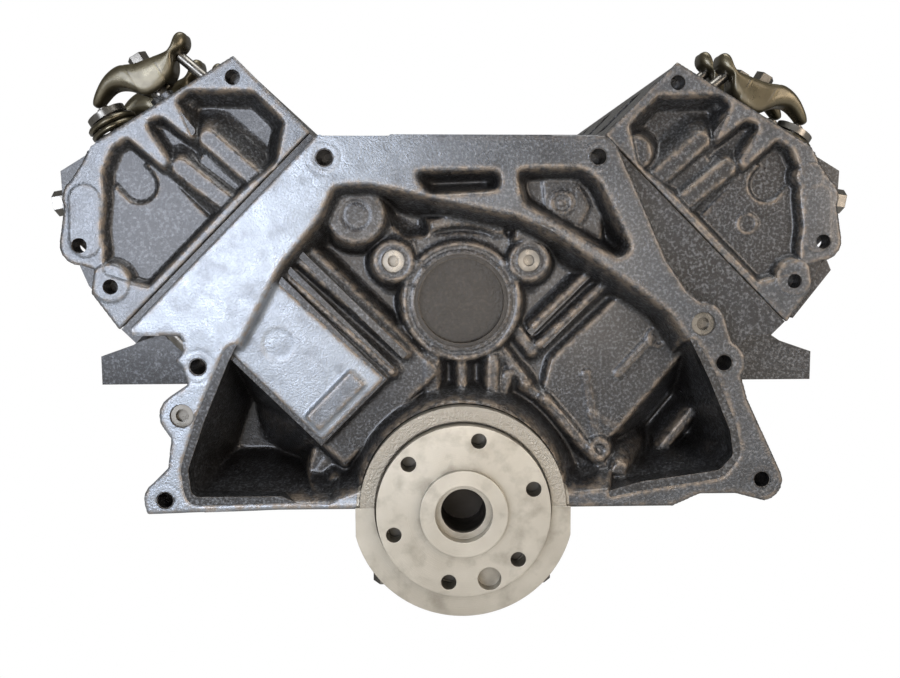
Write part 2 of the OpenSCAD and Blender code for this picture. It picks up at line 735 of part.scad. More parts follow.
module crankshaft() {
    color(MACHINED) difference() {
        union() {
            rod_y(flange_d / 2, 0, flange_t);
            rod_y(hub_r, -hub_h, 1);
            rod_y(46, flange_t - 1, 27.5);
            for (j = [0:4]) rod_y(main_r, main_y(j) - 17, main_y(j) + 17);
            for (i = [1:4]) translate([0, pin_y(i), 0]) rotate([0, -PIN_ANGLES[i - 1], 0]) {
                translate([throw, 0, 0]) rod_y(pin_r, -pin_half - 1, pin_half + 1);
                slab(pin_half, pin_half + cheek_t) crank_web();
                slab(-pin_half - cheek_t, -pin_half) crank_web();
            }
            rod_y(snout_r, main_y(4), snout_end_y);
            rod_y(sprocket_seat_r, main_y(4), chain_y + sprocket_hub_half);
            rod_y(24, main_y(4), block_front_y + 6);
            // key that drives the sprocket
            translate([-3, chain_y - sprocket_hub_half + 1, 10]) cube([6, 2 * sprocket_hub_half - 2, 10.5]);
        }
        // register recess, pilot bore and flywheel bolt holes
        rod_y(20.3, -hub_h - 1, 3);
        rod_y(pilot_bore_d / 2, -hub_h - 1, 38);
        for (i = [0:5]) rotate([0, -18 - 60 * i, 0]) {
            translate([flywheel_pcd / 2, 0, 0]) rod_y(flywheel_hole_d / 2, -1, flange_t + 1);
        }
        rotate([0, -290.5, 0]) translate([flywheel_pcd / 2, 0, 0]) rod_y(8.4, -1, 9);
        rod_y(6.5, snout_end_y - 40, snout_end_y + 1);
    }
}

// ---- rods and pistons ----

// Draw at the crankpin of cylinder n, with Z along the rod
module rod_frame(n) {
    pin_a = PIN_ANGLES[pin_of(n) - 1];
    translate([throw * cos(pin_a), bore_y(n), throw * sin(pin_a)]) {
        rotate([0, 90 - bank_angle(side_of(n)) + rod_lean(n), 0]) children();
    }
}

module rod_blade() {
    slab(-9, 9) polygon([[-20, 30], [-12, rod_length - 14], [12, rod_length - 14], [20, 30]]);
    slab(-rod_w / 2, rod_w / 2) {
        circle(42, $fn = 64);
        translate([0, rod_length]) circle(wrist_r + 7.5);
        for (x = [-38, 38]) translate([x, 2]) square([15, 32], center = true);
    }
}

module rod(n) {
    shell_r = pin_r + running_fit + rod_shell_t;
    color(STEEL) rod_frame(n) {
        difference() {
            rod_blade();
            rod_y(shell_r, -20, 20);
            translate([0, 0, rod_length]) rod_y(wrist_r + running_fit, -20, 20);
            // joint between the rod and its cap
            translate([-50, -20, -part_gap]) cube([100, 40, part_gap]);
            // hollow sides of the I-beam
            for (y = [-12, 3]) slab(y, y + 9) {
                polygon([[-11, 46], [-6, rod_length - 26], [6, rod_length - 26], [11, 46]]);
            }
            for (x = [-38, 38]) translate([x, 0, -20]) cylinder(r = 4.6, h = 44);
        }
        difference() {
            rod_y(shell_r - 0.02, -11, 11);
            rod_y(pin_r + running_fit, -12, 12);
            translate([-40, -13, -part_gap]) cube([80, 26, part_gap]);
        }
        for (x = [-38, 38]) translate([x, 0, 0]) {
            translate([0, 0, -15]) cylinder(r = 4.5, h = 36);
            translate([0, 0, -22]) hex_head(13, 7.9);
        }
    }
}

// Draw at the wrist pin of cylinder n, with Z along the bore
module piston_frame(n) {
    b = bank_angle(side_of(n));
    h = wrist_height(n);
    s = stray(n);
    translate([h * cos(b) - s * sin(b), bore_y(n), h * sin(b) + s * cos(b)]) {
        rotate([0, 90 - b, 0]) children();
    }
}

module piston(n) {
    color(MACHINED) piston_frame(n) {
        difference() {
            translate([0, 0, -skirt_l]) cylinder(r = piston_r, h = crown_height + skirt_l, $fn = 96);
            translate([0, 0, -skirt_l - 1]) cylinder(r = piston_r - 6, h = crown_height + skirt_l - 11);
            // skirt relief beside the counterweights
            for (y = [-1, 1]) translate([-60, y * 46 - 16, -skirt_l - 1]) cube([120, 32, 13]);
            translate([0, 0, crown_height - 3]) cylinder(r = 36, h = 4);
            for (z = RING_Z) translate([0, 0, crown_height - z]) difference() {
                cylinder(r = piston_r + 1, h = 2.6);
                translate([0, 0, -1]) cylinder(r = piston_r - 4, h = 5);
            }
        }
        // pin bosses, carried by the crown
        for (y = [-1, 1]) difference() {
            union() {
                translate([0, y * 30, 0]) rod_y(wrist_r + 7, -13, 13);
                translate([-12, y * 30 - 13, 0]) cube([24, 26, crown_height - 11]);
            }
            rod_y(wrist_r + 0.02, -60, 60);
        }
        rod_y(wrist_r, -40, 40);
        // compression and oil rings
        for (z = RING_Z) translate([0, 0, crown_height - z + 0.1]) difference() {
            cylinder(r = piston_r, h = 2.4, $fn = 96);
            translate([0, 0, -1]) cylinder(r = piston_r - 3.9, h = 5);
        }
    }
}
RING_Z = [10, 17, 25];

// ---- camshaft and its bearings ----

// Flat-foot cam outline: the support distance at each angle is the base circle plus the lift
function lobe_outline() = [
    for (t = [0:6:354])
        let (h = lobe_base_r + lift_at(wrap(t)), d = lift_slope(wrap(t)))
        [h * cos(t) - d * sin(t), h * sin(t) + d * cos(t)]
];

module camshaft() {
    color(STEEL) translate([0, 0, cam_height]) {
        rod_y(15, wall_y + 1, block_front_y + 8);
        for (j = [0:4]) rod_y(
            tunnel_r - shell_t - running_fit,
            cam_bearing_y(j) - cam_bearing_half(j), cam_bearing_y(j) + cam_bearing_half(j) + 0.5
        );
        for (n = [1:8], ex = [false, true]) {
            nose = bank_angle(side_of(n)) + lobe_offset(n, ex);
            translate([0, valve_y(n, ex), 0]) rotate([0, -nose, 0]) slab(-8.5, 8.5) polygon(lobe_outline());
        }
    }
}
function cam_bearing_y(j) = j == 0 ? wall_y + 4.9 : main_y(j);
function cam_bearing_half(j) = j == 0 ? 4.6 : 10;

module cam_bearings() {
    color(BRASS) translate([0, 0, cam_height]) for (j = [0:4]) difference() {
        rod_y(tunnel_r - 0.02, cam_bearing_y(j) - cam_bearing_half(j), cam_bearing_y(j) + cam_bearing_half(j));
        rod_y(tunnel_r - shell_t, cam_bearing_y(j) - 11, cam_bearing_y(j) + 11);
    }
}

module cam_plug() {
    color(RED_IRON) translate([0, 0, cam_height]) difference() {
        rod_y(34 - part_gap, 35, 43.9);
        rod_y(31, 34, 42);
    }
}

module block_plugs() {
    color(STEEL) {
        for (x = [-49, 49]) translate([x, 0, cam_height + 29]) difference() {
            rod_y(8.1, 35, 43.9);
            rod_y(4, 34, 39);
        }
        for (p = [[-199, 68], [171, 131]]) translate([p[0], 0, p[1]]) difference() {
            rod_y(8.1, bell_y + 1, 25.9);
            rod_y(4.5, bell_y, 19);
        }
        for (side = SIDES, i = [0:2]) bank(side) {
            translate([jacket_a - 8, core_plug_y(side, i), 178]) rotate([0, 90, 0]) difference() {
                translate([0, 0, 0.1]) cylinder(r = 19.9, h = 5);
                translate([0, 0, 1.6]) cylinder(r = 18.4, h = 5);
            }
        }
        for (side = SIDES, y = PLUG_Y) bank(side) translate([44, head_y(side) + y, head_b + 93]) {
            rotate([0, 55, 0]) {
                translate([0, 0, -18]) cylinder(r = 6.9, h = 20);
                translate([0, 0, 1.9]) hex_head(16, 11);
            }
        }
    }
}

// ---- valve gear ----

module rocker_body() {
    slab(-rocker_w / 2, rocker_w / 2) polygon(concat(
        [[-40, 6], [-37, 10], [-32, 9], [-30, 3]],
        arc([0, 0], bowl_r, 188, 358, 14),
        [[12.4, 5], [16, 11], [26, 10], [37, 5]],
        arc([valve_arm, -1.5], 4, 40, -90, 5),
        [[33, -1.5], [25, 1], [18, -4]],
        arc([0, 0], bowl_r + 6, 325, 200, 10),
        [[-24, -4], [-32, -3]]
    ));
}

module rocker(n, exhaust) {
    tilt = rocker_tilt(n, exhaust);
    rocker_frame(n, exhaust) rotate([0, tilt, 0]) difference() {
        union() {
            rocker_body();
            // side walls that stiffen the bowl
            for (y = [-rocker_w / 2, rocker_w / 2 - 3.5]) slab(y, y + 3.5) polygon(concat(
                arc([0, 0], bowl_r + 3, 200, 340, 10), [[20, 2], [14, 12], [4, 7], [-8, 5], [-18, 3]]
            ));
        }
        // way for the fulcrum bolt and a cup for the pushrod
        translate([-12, -6.5, -30]) cube([24, 13, 30]);
        translate([-push_arm, 0, -8]) cylinder(r = pushrod_d / 2 + 1.2, h = 7);
    }
}

// Bank coordinates of the cup in a rocker, where its pushrod ends
function cup_point(n, exhaust) =
    let (t = rocker_tilt(n, exhaust), q = turned([-push_arm, -cup_depth], t))
    pivot_of(exhaust) + turned(q, -rail_slope);
// A point turned about Y, as rotate([0, t, 0]) does in the plane of x and z
function turned(p, t) = [p[0] * cos(t) + p[1] * sin(t), p[1] * cos(t) - p[0] * sin(t)];
cup_depth = 3.2;

module pushrod(n, exhaust) {
    foot = cam_b + lobe_base_r + lobe_gap + lift(n, exhaust);
    seat = foot + lifter_l - 9;
    run = cup_point(n, exhaust) - [lifter_a, seat];
    bank(side_of(n)) translate([lifter_a, valve_y(n, exhaust), 0]) {
        translate([0, 0, foot]) difference() {
            cylinder(r = lifter_d / 2, h = lifter_l);
            translate([0, 0, lifter_l - 8]) cylinder(r = 7, h = 9);
        }
        translate([0, 0, seat]) rotate([0, atan2(run[0], run[1]), 0]) {
            translate([0, 0, 2]) cylinder(r = pushrod_d / 2, h = norm(run) - 2);
            translate([0, 0, 3]) sphere(r = pushrod_d / 2 + 0.8);
        }
    }
}

module valve(n, exhaust) {
    drop = valve_drop(n, exhaust);
    r = valve_r(exhaust);
    rocker_frame(n, exhaust) translate([valve_arm, 0, -tip_drop - 1.8 - drop]) {
        translate([0, 0, -seat_drop + 2]) cylinder(r = stem_d / 2, h = seat_drop - 2);
        translate([0, 0, -seat_drop]) cylinder(r1 = r, r2 = r - 1.5, h = 2.5);
        translate([0, 0, -seat_drop + 2.4]) cylinder(r1 = r - 4, r2 = stem_d / 2, h = 11);
        // retainer and its locks
        translate([0, 0, -9]) cylinder(r = spring_d / 2 - 4, h = 5);
        translate([0, 0, -13]) cylinder(r = 9.5, h = 5);
    }
}

// Whole travel of a valve's retainer over the crank's swing
function retainer_room(n, exhaust) =
    abs(lift_slope(lobe_offset(n, exhaust))) * swing / 2 * PI / 180 * valve_arm / push_arm + 0.4;

module valve_spring(n, exhaust) {
    room = is_open(n, exhaust) ? retainer_room(n, exhaust) : 0.05;
    top = -tip_drop - 1.8 - 9 - valve_drop(n, exhaust) - room;
    h = top + spring_seat_drop - 0.05;
    coils = 5;
    wire = 2.3;
    step = (h - 2 * wire) / (coils - 1);
    rocker_frame(n, exhaust) translate([valve_arm, 0, -spring_seat_drop + 0.05]) rotate_extrude() {
        for (i = [0:coils - 1]) translate([spring_d / 2 - wire, wire + i * step]) circle(wire, $fn = 16);
        translate([spring_d / 2 - wire - 1, wire]) square([1.6, h - 2 * wire]);
    }
}

module valve_springs() {
    color(OLIVE) for (n = [1:8], ex = [false, true]) valve_spring(n, ex);
}

module rocker_fulcrums() {
    color(STEEL) for (n = [1:8], ex = [false, true]) rocker_frame(n, ex) {
        difference() {
            rod_y(bowl_r - 0.15, -rocker_w / 2 + 4.5, rocker_w / 2 - 4.5);
            translate([-20, -20, 3]) cube([40, 40, 20]);
        }
        translate([0, 0, -20.9]) cylinder(r = 6, h = 12);
        translate([0, 0, -58]) cylinder(r = 4.1, h = 62);
        translate([0, 0, 3]) cylinder(r = 8.5, h = 2);
        translate([0, 0, 4.9]) hex_head(13, 8);
    }
}

module closed_rockers() {
    color(OLIVE) for (n = [1:8], ex = [false, true]) if (!is_open(n, ex)) rocker(n, ex);
}

module closed_valves() {
    color(STEEL) for (n = [1:8], ex = [false, true]) if (!is_open(n, ex)) valve(n, ex);
}

module closed_pushrods() {
    color(STEEL) for (n = [1:8], ex = [false, true]) if (!is_open(n, ex)) pushrod(n, ex);
}

// ---- timing set ----

module sprocket(teeth, pitch_r, bore) {
    pocket_r = roller_r + 0.15;
    difference() {
        circle(pitch_r + 1.5, $fn = 96);
        for (i = [0:teeth - 1]) rotate(i * 360 / teeth) translate([pitch_r, 0]) {
            circle(pocket_r, $fn = 16);
            polygon([[0, -pocket_r], [3, -pocket_r - 1.2], [3, pocket_r + 1.2], [0, pocket_r]]);
        }
        circle(bore, $fn = 48);
    }
}

// Rollers of one tooth each, from roller i0 to i1 round a sprocket
module chain_arc(teeth, pitch_r, i0, i1) {
    step = 360 / teeth;
    for (i = [i0:i1]) rotate([0, -i * step, 0]) {
        translate([pitch_r, 0, 0]) chain_pin();
        if (i < i1) rotate([0, -step / 2, 0]) {
            translate([pitch_r * cos(step / 2), 0, 0]) rotate([0, 90, 0]) link_plates((i - i0) % 2 == 1);
        }
    }
}

plate_t = 1.4;
function plate_ys(outer) = outer ? [-8, 8 - plate_t] : [-6.4, 6.4 - plate_t];

module chain_pin() {
    rod_y(roller_r, -5, 5);
    rod_y(1.6, -8.4, 8.4);
}

// Side plates of one link, centred between its pins, lying along X; every other link is the outer one
module link_plates(outer) {
    for (y = plate_ys(outer)) slab(y, y + plate_t) {
        for (x = [-0.5, 0.5]) translate([x * chain_pitch, 0]) circle(4, $fn = 16);
        square([chain_pitch, 6.4], center = true);
    }
}

// Angle between a straight run of the chain and the centre line
run_lean = asin((cam_pitch_r - crank_pitch_r) / cam_height);
// Links of the crank and cam sprockets' halves, and pins of one straight run
crank_links = 4;
cam_links = 10;
run_pins = 15;
// Distance from a tangent point to the first pin of the run
function first_pin(pitch_r, half_wrap, step, links) =
    chain_pitch - (half_wrap - step * links) * PI / 180 * pitch_r;
run_start = first_pin(crank_pitch_r, 90 - run_lean, 360 / crank_teeth, crank_links);
run_end = cam_height * cos(run_lean)
    - first_pin(cam_pitch_r, 90 + run_lean, 180 / crank_teeth, cam_links);
run_step = (run_end - run_start) / (run_pins - 1);

module chain_run(side) {
    mirror([side == LEFT ? 1 : 0, 0, 0]) {
        rotate([0, run_lean, 0]) translate([crank_pitch_r, chain_y, 0]) {
            for (i = [0:run_pins - 1]) translate([0, 0, run_start + i * run_step]) {
                chain_pin();
                if (i < run_pins - 1) translate([0, 0, chain_pitch / 2]) {
                    rotate([0, 90, 0]) link_plates((i % 2 == 1) == (side == LEFT));
                }
            }
            // open-eyed links that reach over the last pin on each sprocket
            translate([0, 0, run_start]) rotate([0, 90, 0]) eye_plates(side == LEFT);
            translate([0, 0, run_end]) rotate([0, -90, 0]) eye_plates(side == RIGHT);
        }
    }
}

// Plates from a pin to the next body's pin, whose eye leaves room for the turn
module eye_plates(outer) {
    eye_r = 3.75;
    for (y = plate_ys(outer)) slab(y, y + plate_t) difference() {
        union() {
            circle(4, $fn = 16);
            translate([chain_pitch, 0]) circle(eye_r + 0.85, $fn = 24);
            translate([0, -3.2]) square([chain_pitch, 6.4]);
        }
        translate([chain_pitch, 0]) circle(eye_r, $fn = 24);
    }
}

module crank_sprocket() {
    color(STEEL) {
        difference() {
            union() {
                slab(chain_y - sprocket_t / 2, chain_y + sprocket_t / 2) rotate(-90) {
                    sprocket(crank_teeth, crank_pitch_r, sprocket_seat_r + 0.02);
                }
                difference() {
                    rod_y(24, chain_y - sprocket_hub_half, chain_y + sprocket_hub_half);
                    rod_y(sprocket_seat_r + 0.02, chain_y - 10, chain_y + 10);
                }
            }
            translate([-3.1, chain_y - 20, 10]) cube([6.2, 40, 10.7]);
        }
    }
}

module cam_sprocket() {
    color(STEEL) translate([0, 0, cam_height]) {
        slab(chain_y - sprocket_t / 2, chain_y + sprocket_t / 2) rotate(90) difference() {
            sprocket(2 * crank_teeth, cam_pitch_r, 5.2);
            for (i = [0:5]) rotate(30 + 60 * i) translate([37, 0]) circle(9, $fn = 24);
        }
        difference() {
            rod_y(20, block_front_y + 8.05, chain_y - 4);
            rod_y(5.2, block_front_y + 7, chain_y);
        }
        rod_y(5.1, block_front_y + 8.05, chain_y + 6);
        translate([0, chain_y + 4.55, 0]) rotate([-90, 0, 0]) hex_head(17, 9);
    }
}

module chain_on_crank() {
    color(STEEL) translate([0, chain_y, 0]) rotate([0, 90, 0]) {
        chain_arc(crank_teeth, crank_pitch_r, -crank_links, crank_links);
    }
}

module chain_on_cam() {
    color(STEEL) translate([0, chain_y, cam_height]) rotate([0, -90, 0]) {
        chain_arc(2 * crank_teeth, cam_pitch_r, -cam_links, cam_links);
    }
}

module chain_run_left() {
    color(STEEL) chain_run(LEFT);
}

module chain_run_right() {
    color(STEEL) chain_run(RIGHT);
}

// ---- one line for each node ----

engine_block();
cylinder_head_left();
cylinder_head_right();
head_gaskets();
head_bolts();
main_bearing_caps();
rear_main_cap();
main_cap_bolts();
main_bearing_shells();
rear_main_seal();
cam_bearings();
cam_plug();
block_plugs();
rocker_fulcrums();
valve_springs();
closed_rockers();
closed_valves();
closed_pushrods();
crankshaft();
crank_sprocket();
chain_on_crank();
camshaft();
cam_sprocket();
chain_on_cam();
chain_run_left();
chain_run_right();
for (n = [1:8]) piston(n);
for (n = [1:8]) rod(n);
for (n = INTAKE_OPEN) {
    color(STEEL) pushrod(n, false);
    color(OLIVE) rocker(n, false);
    color(STEEL) valve(n, false);
}
for (n = EXHAUST_OPEN) {
    color(STEEL) pushrod(n, true);
    color(OLIVE) rocker(n, true);
    color(STEEL) valve(n, true);
}
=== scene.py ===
"""Studio view of a ninety-degree pushrod long block, seen from its flywheel end.

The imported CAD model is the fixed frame. This script gives every node a procedural finish, lays finely
modelled casting surfaces over the rear of the block and heads, and makes wound springs and stamped
rockers in the places of the plain ones.
Lengths are millimetres until a mesh is made, and metres in Blender. +X is right, +Y forward, +Z up.
"""

import json
import logging
import math
from dataclasses import dataclass, field, replace
from enum import Enum
from typing import ClassVar

import bpy
import numpy as np
from mathutils import Matrix, Vector


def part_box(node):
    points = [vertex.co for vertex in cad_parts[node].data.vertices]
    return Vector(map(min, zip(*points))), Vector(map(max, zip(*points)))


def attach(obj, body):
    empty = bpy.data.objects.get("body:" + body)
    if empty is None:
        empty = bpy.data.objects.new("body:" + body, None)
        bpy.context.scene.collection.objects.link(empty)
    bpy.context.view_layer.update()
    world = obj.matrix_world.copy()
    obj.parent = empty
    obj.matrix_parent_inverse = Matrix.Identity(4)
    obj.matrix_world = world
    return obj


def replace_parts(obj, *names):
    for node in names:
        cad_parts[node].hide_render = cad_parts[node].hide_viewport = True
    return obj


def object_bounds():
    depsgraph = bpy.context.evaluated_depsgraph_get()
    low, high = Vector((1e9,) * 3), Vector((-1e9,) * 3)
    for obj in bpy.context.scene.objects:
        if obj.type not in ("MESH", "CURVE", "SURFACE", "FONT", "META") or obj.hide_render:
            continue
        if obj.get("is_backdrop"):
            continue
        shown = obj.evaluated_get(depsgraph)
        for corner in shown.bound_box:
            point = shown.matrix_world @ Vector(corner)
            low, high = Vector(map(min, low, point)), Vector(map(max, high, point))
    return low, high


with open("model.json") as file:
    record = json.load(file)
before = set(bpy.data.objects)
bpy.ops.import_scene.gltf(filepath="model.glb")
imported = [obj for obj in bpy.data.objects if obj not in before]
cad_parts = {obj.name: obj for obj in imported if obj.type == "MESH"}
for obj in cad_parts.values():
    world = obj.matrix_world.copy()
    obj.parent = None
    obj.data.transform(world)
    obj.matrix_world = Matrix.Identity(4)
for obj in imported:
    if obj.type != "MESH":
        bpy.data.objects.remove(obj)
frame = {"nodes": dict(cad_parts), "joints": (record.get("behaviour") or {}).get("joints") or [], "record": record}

LOG = logging.getLogger("long_block")
MM = 0.001
HALF = math.sqrt(0.5)
Array = np.ndarray
Spot = tuple[float, float]
Body = tuple[Array, Array]


# ---------------------------------------------------------------- finishes


def linear(hex_colour: str) -> tuple[float, float, float, float]:
    """Turn an sRGB hex colour into linear RGBA.

    Args:
        hex_colour: Six hex digits, with or without a leading hash.

    Returns:
        Linear red, green, blue and an alpha of one.
    """
    digits = hex_colour.lstrip("#")
    values = [int(digits[i : i + 2], 16) / 255 for i in (0, 2, 4)]
    scaled = [v / 12.92 if v <= 0.04045 else ((v + 0.055) / 1.055) ** 2.4 for v in values]
    return (*scaled, 1.0)


class Lay(Enum):
    """Direction in which a surface was worked."""

    NONE = "none"
    TURNED = "turned"


@dataclass(frozen=True)
class Finish:
    """How one material looks.

    Attributes:
        name: Name of the Blender material.
        base: Main colour.
        tint: Second colour, mixed in by large soft noise.
        tint_amount: Greatest share of the second colour.
        edge: Colour on worn or oily edges.
        edge_amount: Share of the edge colour on an edge.
        metallic: Metallic value of the surface.
        roughness: Middle of the roughness range.
        roughness_swing: Half of the roughness range.
        grain_mm: Size of the fine casting grain.
        grain_depth: Strength of the fine grain's bump.
        swell_mm: Size of the soft swell under it.
        swell_depth: Strength of that swell's bump.
        coat: Weight of the oil film.
        coat_roughness: Roughness of the oil film.
        bevel_mm: Radius at which sharp edges seem rounded, or 0 where the mesh is round already.
        lay: Direction of tool marks.
        grime_and_shade: Colour of dirt that gathers in patches, also laid as painted shade into corners, hollows
            and deep recesses.
        grime_amount: Share of that colour in the dirt patches.
        speck: Colour of the fine bright specks of a wet casting.
        speck_amount: Share of that colour.
        bright: Colour of painted sheen, which stands in for lamp light reflected from smooth faces.
        ring_mm: Radius round the crankshaft inside which the rearmost face is bare metal, or 0.
        bore_mm: Radius of a bore on the crankshaft's axis, drawn darker the deeper it goes, or 0.
    """

    name: str
    base: str
    tint: str
    tint_amount: float = 0.5
    edge: str = "#8a8378"
    edge_amount: float = 0.25
    metallic: float = 0.6
    roughness: float = 0.4
    roughness_swing: float = 0.12
    grain_mm: float = 1.6
    grain_depth: float = 0.35
    swell_mm: float = 14.0
    swell_depth: float = 0.25
    coat: float = 0.4
    coat_roughness: float = 0.12
    bevel_mm: float = 1.2
    lay: Lay = Lay.NONE
    grime_and_shade: str = "#1a1714"
    grime_amount: float = 0.4
    speck: str = "#74777b"
    speck_amount: float = 0.0
    bright: str = "#bcc6d2"
    ring_mm: float = 0.0
    bore_mm: float = 0.0


FINISHES: dict[str, Finish] = {
    f.name: f
    for f in (
        # Oiled sand-cast iron: dark and uneven, with rubbed edges of a bronze tone. The real grain is
        # half a millimetre, too fine to show, so it is drawn three times as coarse.
        Finish("cast_iron", "#37383a", "#2c2925", edge="#8d8071", edge_amount=0.4, metallic=0.55,
               roughness=0.36, roughness_swing=0.1, coat=0.55, coat_roughness=0.16, grain_depth=0.95,
               speck_amount=0.7, swell_depth=0.35, grime_and_shade="#120e0b", ring_mm=76.5),
        # Pressed steel cup under a wet film of oil and sealer, in the darkest colour.
        Finish("wet_cup", "#1b1714", "#110e0c", edge="#7a6d5c", edge_amount=0.5, metallic=0.4,
               roughness=0.42, coat=0.35, coat_roughness=0.1, grain_mm=2.2, grain_depth=1.0, swell_mm=8,
               speck="#3a342c", speck_amount=0.5, swell_depth=0.9, grime_and_shade="#0d0a08"),
        # Turned iron, dry and pale, with fine rings and brown stains.
        Finish("machined_iron", "#c2bdb1", "#a9a397", edge="#e2dccf", edge_amount=0.6, metallic=0.75,
               roughness=0.4, roughness_swing=0.08, grain_mm=0.7, grain_depth=0.12, swell_depth=0.05,
               coat=0.0, bevel_mm=0.7, lay=Lay.TURNED, grime_and_shade="#4a4234", grime_amount=0.35, bore_mm=16.6),
        # Plain pressed case of a shaft seal: dull grey.
        Finish("seal_case", "#99958c", "#858177", metallic=0.4, roughness=0.5, grain_depth=0.05, coat=0.0,
               grime_amount=0.1),
        # Forged and machined steel with a light film of oil.
        Finish("steel", "#8c8983", "#6e6a62", metallic=0.9, roughness=0.3, grain_mm=0.5,
               grain_depth=0.08, swell_depth=0.03, coat=0.2, bevel_mm=0.5, grime_and_shade="#2c2519"),
        # Oil-tempered spring wire: smooth and olive brown.
        Finish("spring_steel", "#6a6350", "#4a4436", metallic=0.85, roughness=0.3, grain_mm=0.4,
               grain_depth=0.05, swell_depth=0.02, coat=0.4, bevel_mm=0.3, grime_and_shade="#211b10"),
        # Stamped and hardened steel with a bronze heat tint.
        Finish("rocker_steel", "#645d49", "#4c4637", metallic=0.7, roughness=0.33, grain_mm=0.7,
               grain_depth=0.08, swell_depth=0.06, coat=0.4, bevel_mm=0.8, edge="#a89f83",
               grime_and_shade="#2a2415"),
        # Cast aluminium alloy, bright and dry.
        Finish("piston_alloy", "#b9b9b8", "#9a9894", metallic=0.9, roughness=0.4, coat=0.0,
               grain_depth=0.06),
        # Soft tin and copper lining, pale brass in tone.
        Finish("bearing_metal", "#a89c7c", "#8d825f", metallic=0.9, roughness=0.35, coat=0.2,
               grain_depth=0.04),
    )
}
# The same iron where the mesh has its own rounded edges, so none are drawn by the shader.
FINISHES["cast_relief"] = replace(FINISHES["cast_iron"], name="cast_relief", bevel_mm=0.0)
BARE_RING = "#9f998d"
DEEP_BORE_COLOUR = "#17120e"


class Graph:
    """A small wrapper round a node tree, so that each node is added in one call."""

    def __init__(self, tree: bpy.types.NodeTree) -> None:
        """Keep the tree and clear it."""
        self.tree = tree
        tree.nodes.clear()

    def add(self, kind: str, settings: dict | None = None, **inputs: object) -> bpy.types.Node:
        """Add a node, set its fields and link or set its inputs.

        Args:
            kind: Blender's type name without the "ShaderNode" prefix.
            settings: Values for the node's own fields.
            **inputs: Socket values by name, with underscores for spaces. A socket is linked.

        Returns:
            The new node.
        """
        node = self.tree.nodes.new("ShaderNode" + kind)
        for key, value in (settings or {}).items():
            setattr(node, key, value)
        for key, value in inputs.items():
            name = key.replace("_", " ")
            index = int(name[2:]) if name.startswith("in") and name[2:].isdigit() else name
            if isinstance(value, bpy.types.NodeSocket):
                self.tree.links.new(value, node.inputs[index])
            else:
                node.inputs[index].default_value = value
        return node

    def noise(self, size_mm: float, detail: float = 3.0, offset: float = 0.0) -> bpy.types.NodeSocket:
        """Noise of a real size in object coordinates.

        Args:
            size_mm: Size of its largest features.
            detail: Number of finer layers.
            offset: Shift in metres, so that two noises differ.

        Returns:
            A value from 0 to 1.
        """
        place = self.add("TexCoord").outputs["Object"]
        moved = self.add("Mapping", Vector=place, Location=(offset, offset * 0.7, -offset))
        made = self.add("TexNoise", Vector=moved.outputs[0], Scale=1000.0 / size_mm, Detail=detail,
                        Roughness=0.55)
        return made.outputs["Fac"]

    def ramp(self, value: bpy.types.NodeSocket, low: float, high: float, to_low: float,
             to_high: float) -> bpy.types.NodeSocket:
        """Map a value from one range to another, held at both ends.

        Args:
            value: What is mapped.
            low: Start of its range.
            high: End of its range.
            to_low: Result at the start.
            to_high: Result at the end.

        Returns:
            The mapped value.
        """
        made = self.add("MapRange", {"clamp": True}, Value=value, From_Min=low, From_Max=high,
                        To_Min=to_low, To_Max=to_high)
        return made.outputs["Result"]

    def mix(self, share: object, first: object, second: object) -> bpy.types.NodeSocket:
        """Blend two colours.

        Args:
            share: Share of the second, as a number or a socket.
            first: Colour or socket.
            second: Colour or socket.

        Returns:
            The blended colour.
        """
        node = self.add("Mix", {"data_type": "RGBA"})
        for index, value in ((0, share), (6, first), (7, second)):
            if isinstance(value, bpy.types.NodeSocket):
                self.tree.links.new(value, node.inputs[index])
            else:
                node.inputs[index].default_value = value
        return node.outputs[2]

    def math(self, operation: str, first: object, second: object = 0.0) -> bpy.types.NodeSocket:
        """One arithmetic step on numbers."""
        return self.add("Math", {"operation": operation}, in0=first, in1=second).outputs[0]

    def about_crank(self) -> tuple[bpy.types.Node, bpy.types.NodeSocket]:
        """Object coordinates, split into three, and the distance to the Y axis that they give.

        Returns:
            The node with X, Y and Z, and the distance.
        """
        place = self.add("SeparateXYZ", Vector=self.add("TexCoord").outputs["Object"])
        flat = self.add("CombineXYZ", X=place.outputs["X"], Z=place.outputs["Z"])
        radius = self.add("VectorMath", {"operation": "LENGTH"}, in0=flat.outputs[0])
        return place, radius.outputs["Value"]

    def white_to_camera(self, output: str, plain: bpy.types.Node, white: bpy.types.Node) -> None:
        """Finish a tree that is white to the camera and plain to all else.

        Args:
            output: Kind of the output node.
            plain: Shader that everything else meets.
            white: Shader that the camera meets.
        """
        path = self.add("LightPath")
        both = self.add("MixShader", in0=path.outputs["Is Camera Ray"], in1=plain.outputs[0],
                        in2=white.outputs[0])
        self.add(output, Surface=both.outputs[0])


